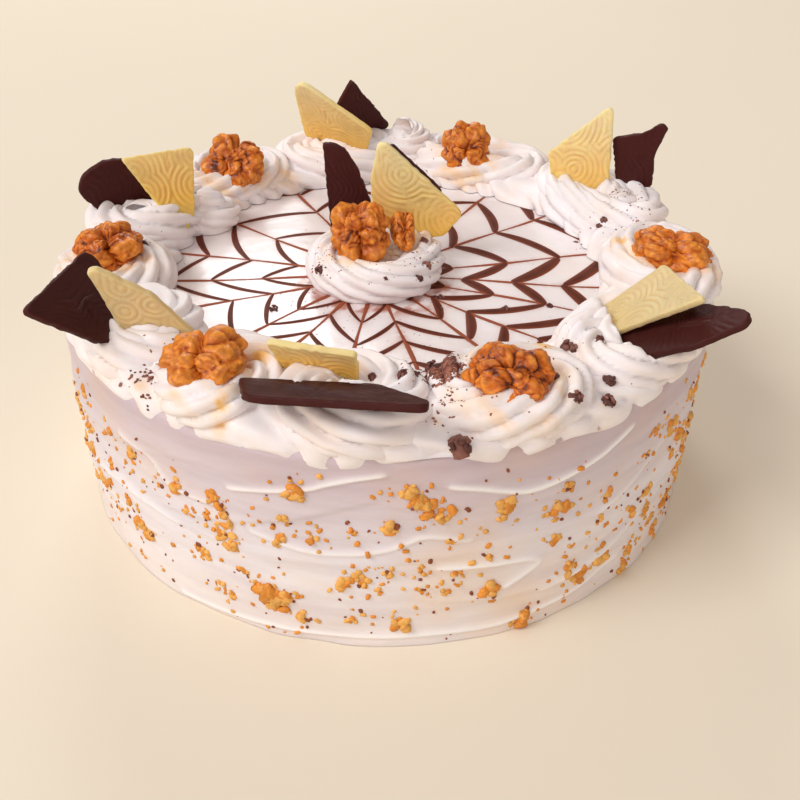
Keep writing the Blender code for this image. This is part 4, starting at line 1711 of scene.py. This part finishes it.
@dataclass
class Shard:
    """A broken plate of chocolate, embossed on both faces."""

    name: str
    spec: ShardSpec
    seed: int
    thick: float = 0.0026
    columns: int = 104
    rings: int = 17

    def outline(self) -> np.ndarray:
        """The corners joined by straight edges, with the corners eased and the breaks uneven.

        Returns:
            (columns, 2) even points of the shard's plane.
        """
        corners = np.array(self.spec.corners, float) * MM
        ends = np.roll(corners, -1, axis=0)
        lengths = np.linalg.norm(ends - corners, axis=1)
        at = np.concatenate([[0], np.cumsum(lengths)])
        spots = np.linspace(0, at[-1], self.columns, endpoint=False)
        shut = np.append(corners, corners[:1], axis=0)
        line = np.stack([np.interp(spots, at, shut[:, k]) for k in (0, 1)], axis=-1)
        for _ in range(2):
            line = 0.5 * line + 0.25 * (np.roll(line, 1, axis=0) + np.roll(line, -1, axis=0))
        return line + 0.00022 * np.stack([ripple(line, 0.006, self.seed + k, 2) for k in (0, 5)], axis=-1)

    def relief(self, flat: np.ndarray) -> np.ndarray:
        """Raised waves: fans of concentric arcs on white chocolate, wandering grooves on dark.

        Args:
            flat: points of the shard's plane.

        Returns:
            Heights in metres.
        """
        draw = np.random.default_rng(self.seed)
        size = np.abs(np.array(self.spec.corners)).max() * MM
        if self.spec.dark:
            bend = 0.0032 * ripple(flat, 0.030, self.seed + 3, 2)
            phase = (flat[..., 1] + 0.35 * flat[..., 0] + bend) / 0.0021
            return 0.00032 * np.sin(TAU * phase) * (0.6 + 0.4 * ripple(flat, 0.02, self.seed + 4, 1))
        centres = 0.95 * size * draw.uniform(-1.0, 1.0, (7, 2))
        away = np.linalg.norm(flat[..., None, :] - centres, axis=-1).min(axis=-1)
        return 0.00028 * np.sin(TAU * away / 0.0022)

    def groove_shade(self, plane: np.ndarray, count: int) -> np.ndarray:
        """How deep each point lies in the grooves of the relief, where shade is painted: the two faces hold
        it, and the rim none.

        Args:
            plane: points of one face, ring by ring.
            count: how many points the whole shard has.

        Returns:
            (count,) shares, 0 to 1.
        """
        upper = self.relief(plane)
        lower = self.relief(plane[..., ::-1] * [-1, 1])[::-1]
        out = np.full(count, 0.5)
        size = upper.size
        out[:size] -= 0.5 * (upper / np.abs(upper).max()).reshape(-1)
        out[count - 2 - size : count - 2] -= 0.5 * (lower / np.abs(lower).max()).reshape(-1)
        return out

    def build(self) -> Piece:
        """The upper face, the broken rim and the lower face, as rings from middle to middle.

        Returns:
            The finished piece.
        """
        edge = self.outline()
        middle = edge.mean(axis=0)
        inward = np.linspace(0.03, 1.0, self.rings)[:, None, None]
        plane = middle + (edge - middle)[None] * inward
        sizes = np.linalg.norm(edge - middle, axis=1)
        plane[-1] = middle + (edge - middle) * (1 - 0.0004 / sizes)[:, None]
        fade = smooth((1 - inward[..., 0]) / 0.10)
        half = self.thick / 2
        up = half - 0.00012 + self.relief(plane) * fade
        down = -half + 0.00012 - self.relief(plane[..., ::-1] * [-1, 1]) * fade
        upper = np.concatenate([plane, up[..., None]], axis=-1)
        lower = np.concatenate([plane, down[..., None]], axis=-1)[::-1]
        rim = []
        ragged = 0.00022 if self.spec.dark else 0.00010
        for share in (0.62, 0.2, -0.25, -0.62):
            level = np.full((len(edge), 1), share * half)
            rough = ragged * ripple(np.concatenate([edge, level], axis=1), 0.003, self.seed + 8, 2)
            out = middle + (edge - middle) * (1 + rough / sizes)[:, None]
            rim.append(np.concatenate([out, level], axis=1)[None])
        flat = np.concatenate([upper, *rim, lower])
        points, faces = capped(flat @ self.spec.basis() + np.array(self.spec.place) * MM)
        values = {
            # Painted light by height: the foot gets the painted amber glow, the tip the paler lit tone.
            "rise": np.clip((points[:, 2] / MM - 90) / self.spec.fade + 0.75 - self.spec.warm, 0, 1),
            # Painted shade in the grooves of the relief.
            "groove_shade": self.groove_shade(plane, len(points)),
            # White shards with little warmth get the greyer beige: partly their own colour, partly painted
            # shade.
            "beige_and_shade": np.full(len(points), 0.55 if self.spec.warm < 0.3 else 0.0),
        }
        finish, slot = (DARK, Slot.DARK) if self.spec.dark else (WHITE, Slot.WHITE)
        return Piece(self.name + "_plate", points, faces, finish, slot, (self.name,), values=values).build()


# --- set ---


@dataclass
class Studio:
    """A plain pale floor, one camera and soft lights."""

    eye: tuple = (0.0056, -0.34299, 0.25279)
    target: tuple = (0.0056, 0.0, 0.0151)
    roll: float = 0.0159
    lens: float = 43.04
    floor: tuple = (241, 231, 212)
    lights: tuple = (
        ("key", (-5.1, -2.7, 5.6), 3.8, 372.0, (1.0, 0.99, 0.99)),
        ("fill", (0.1, -2.9, 1.5), 1.8, 22.0, (1.0, 0.97, 0.97)),
        ("back", (-0.40, 1.9, 1.45), 0.7, 12.0, (0.98, 1.0, 1.0)),
    )
    sky: tuple = (1.0, 0.87, 0.79, 1)
    sky_strength: float = 0.39

    def camera(self) -> None:
        """The camera looks from eye to target, rolled about its line of sight."""
        forward = (Vector(self.target) - Vector(self.eye)).normalized()
        right = forward.cross(Vector((0, 0, 1))).normalized()
        up = right.cross(forward)
        cos, sin = math.cos(self.roll), math.sin(self.roll)
        level = (right * cos + up * sin, up * cos - right * sin)
        data = bpy.data.cameras.new("camera")
        data.lens = self.lens
        data.sensor_width = 36
        data.clip_start = 0.01
        made = placed("camera", data)
        turn = Matrix((level[0], level[1], -forward)).transposed().to_4x4()
        made.matrix_world = Matrix.Translation(self.eye) @ turn
        bpy.context.scene.camera = made

    def light(self, name: str, place: tuple, size: float, power: float, tint: tuple) -> None:
        """A square soft light that faces the cake.

        Args:
            name: the light's name.
            place: where it stands, in metres.
            size: the length of its side, in metres.
            power: watts.
            tint: its linear colour.
        """
        data = bpy.data.lights.new(name, "AREA")
        data.shape = "SQUARE"
        data.size = size
        data.energy = power
        data.color = tint
        made = placed(name, data)
        made.location = place
        made.rotation_euler = (Vector((0, 0, 0.05)) - Vector(place)).to_track_quat("-Z", "Y").to_euler()

    def build(self) -> None:
        """Sets up the camera, the floor, the lights and the sky."""
        self.camera()
        mesh = bpy.data.meshes.new("floor")
        mesh.from_pydata([(-6, -6, 0), (6, -6, 0), (6, 6, 0), (-6, 6, 0)], [], [(0, 1, 2, 3)])
        bench = Bench("floor")
        shades = [(0.3, self.floor), (0.7, tuple(part - 1 for part in self.floor))]
        bench.colour(bench.ramp(bench.noise(4, 2), shades))
        bench.set(Roughness=0.9, Specular_IOR_Level=0.1)
        mesh.materials.append(bench.material)
        placed("floor", mesh)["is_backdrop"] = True
        for row in self.lights:
            self.light(*row)
        world = bpy.data.worlds.new("world")
        world.use_nodes = True
        background = world.node_tree.nodes["Background"]
        background.inputs["Color"].default_value = self.sky
        background.inputs["Strength"].default_value = self.sky_strength
        bpy.context.scene.world = world
        bpy.context.scene.view_settings.view_transform = "Standard"


def plain(bounds: object) -> object:
    """Bounds turned into plain numbers.

    Args:
        bounds: numbers and vectors in lists or dictionaries.

    Returns:
        The same as lists of plain numbers.
    """
    if isinstance(bounds, dict):
        return {str(key): plain(value) for key, value in bounds.items()}
    if isinstance(bounds, (list, tuple, Vector)):
        return [plain(value) for value in bounds]
    return float(bounds) if isinstance(bounds, (int, float, np.floating)) else bounds


def main() -> None:
    """Builds the torte round its frame, piece by piece."""
    logging.basicConfig(level=logging.INFO, format="%(name)s: %(message)s")
    for item in list(bpy.data.objects):
        bpy.data.objects.remove(item)
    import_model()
    before = plain(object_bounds())
    body = CakeBody()
    body.build()
    WallNuts().build(body)
    web = Web()
    fondant = Fondant().build(web)
    web.build()
    grounds = [fondant, *Border().build()]
    CrumbFall("chocolate_crumbs", LARGE_CRUMBS, 61).build(grounds)
    CrumbFall("cocoa", COCOA, 62, 0, tones=((146, 86, 68), (112, 62, 50), (172, 110, 88))).build(grounds)
    for name, spec in WALNUTS.items():
        Walnut(name, spec).build()
    for number, (name, spec) in enumerate(SHARDS.items()):
        Shard(name, spec, 200 + 11 * number).build()
    Studio().build()
    {"frame": before, "scene": plain(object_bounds())}


if __name__ == "__main__":
    main()
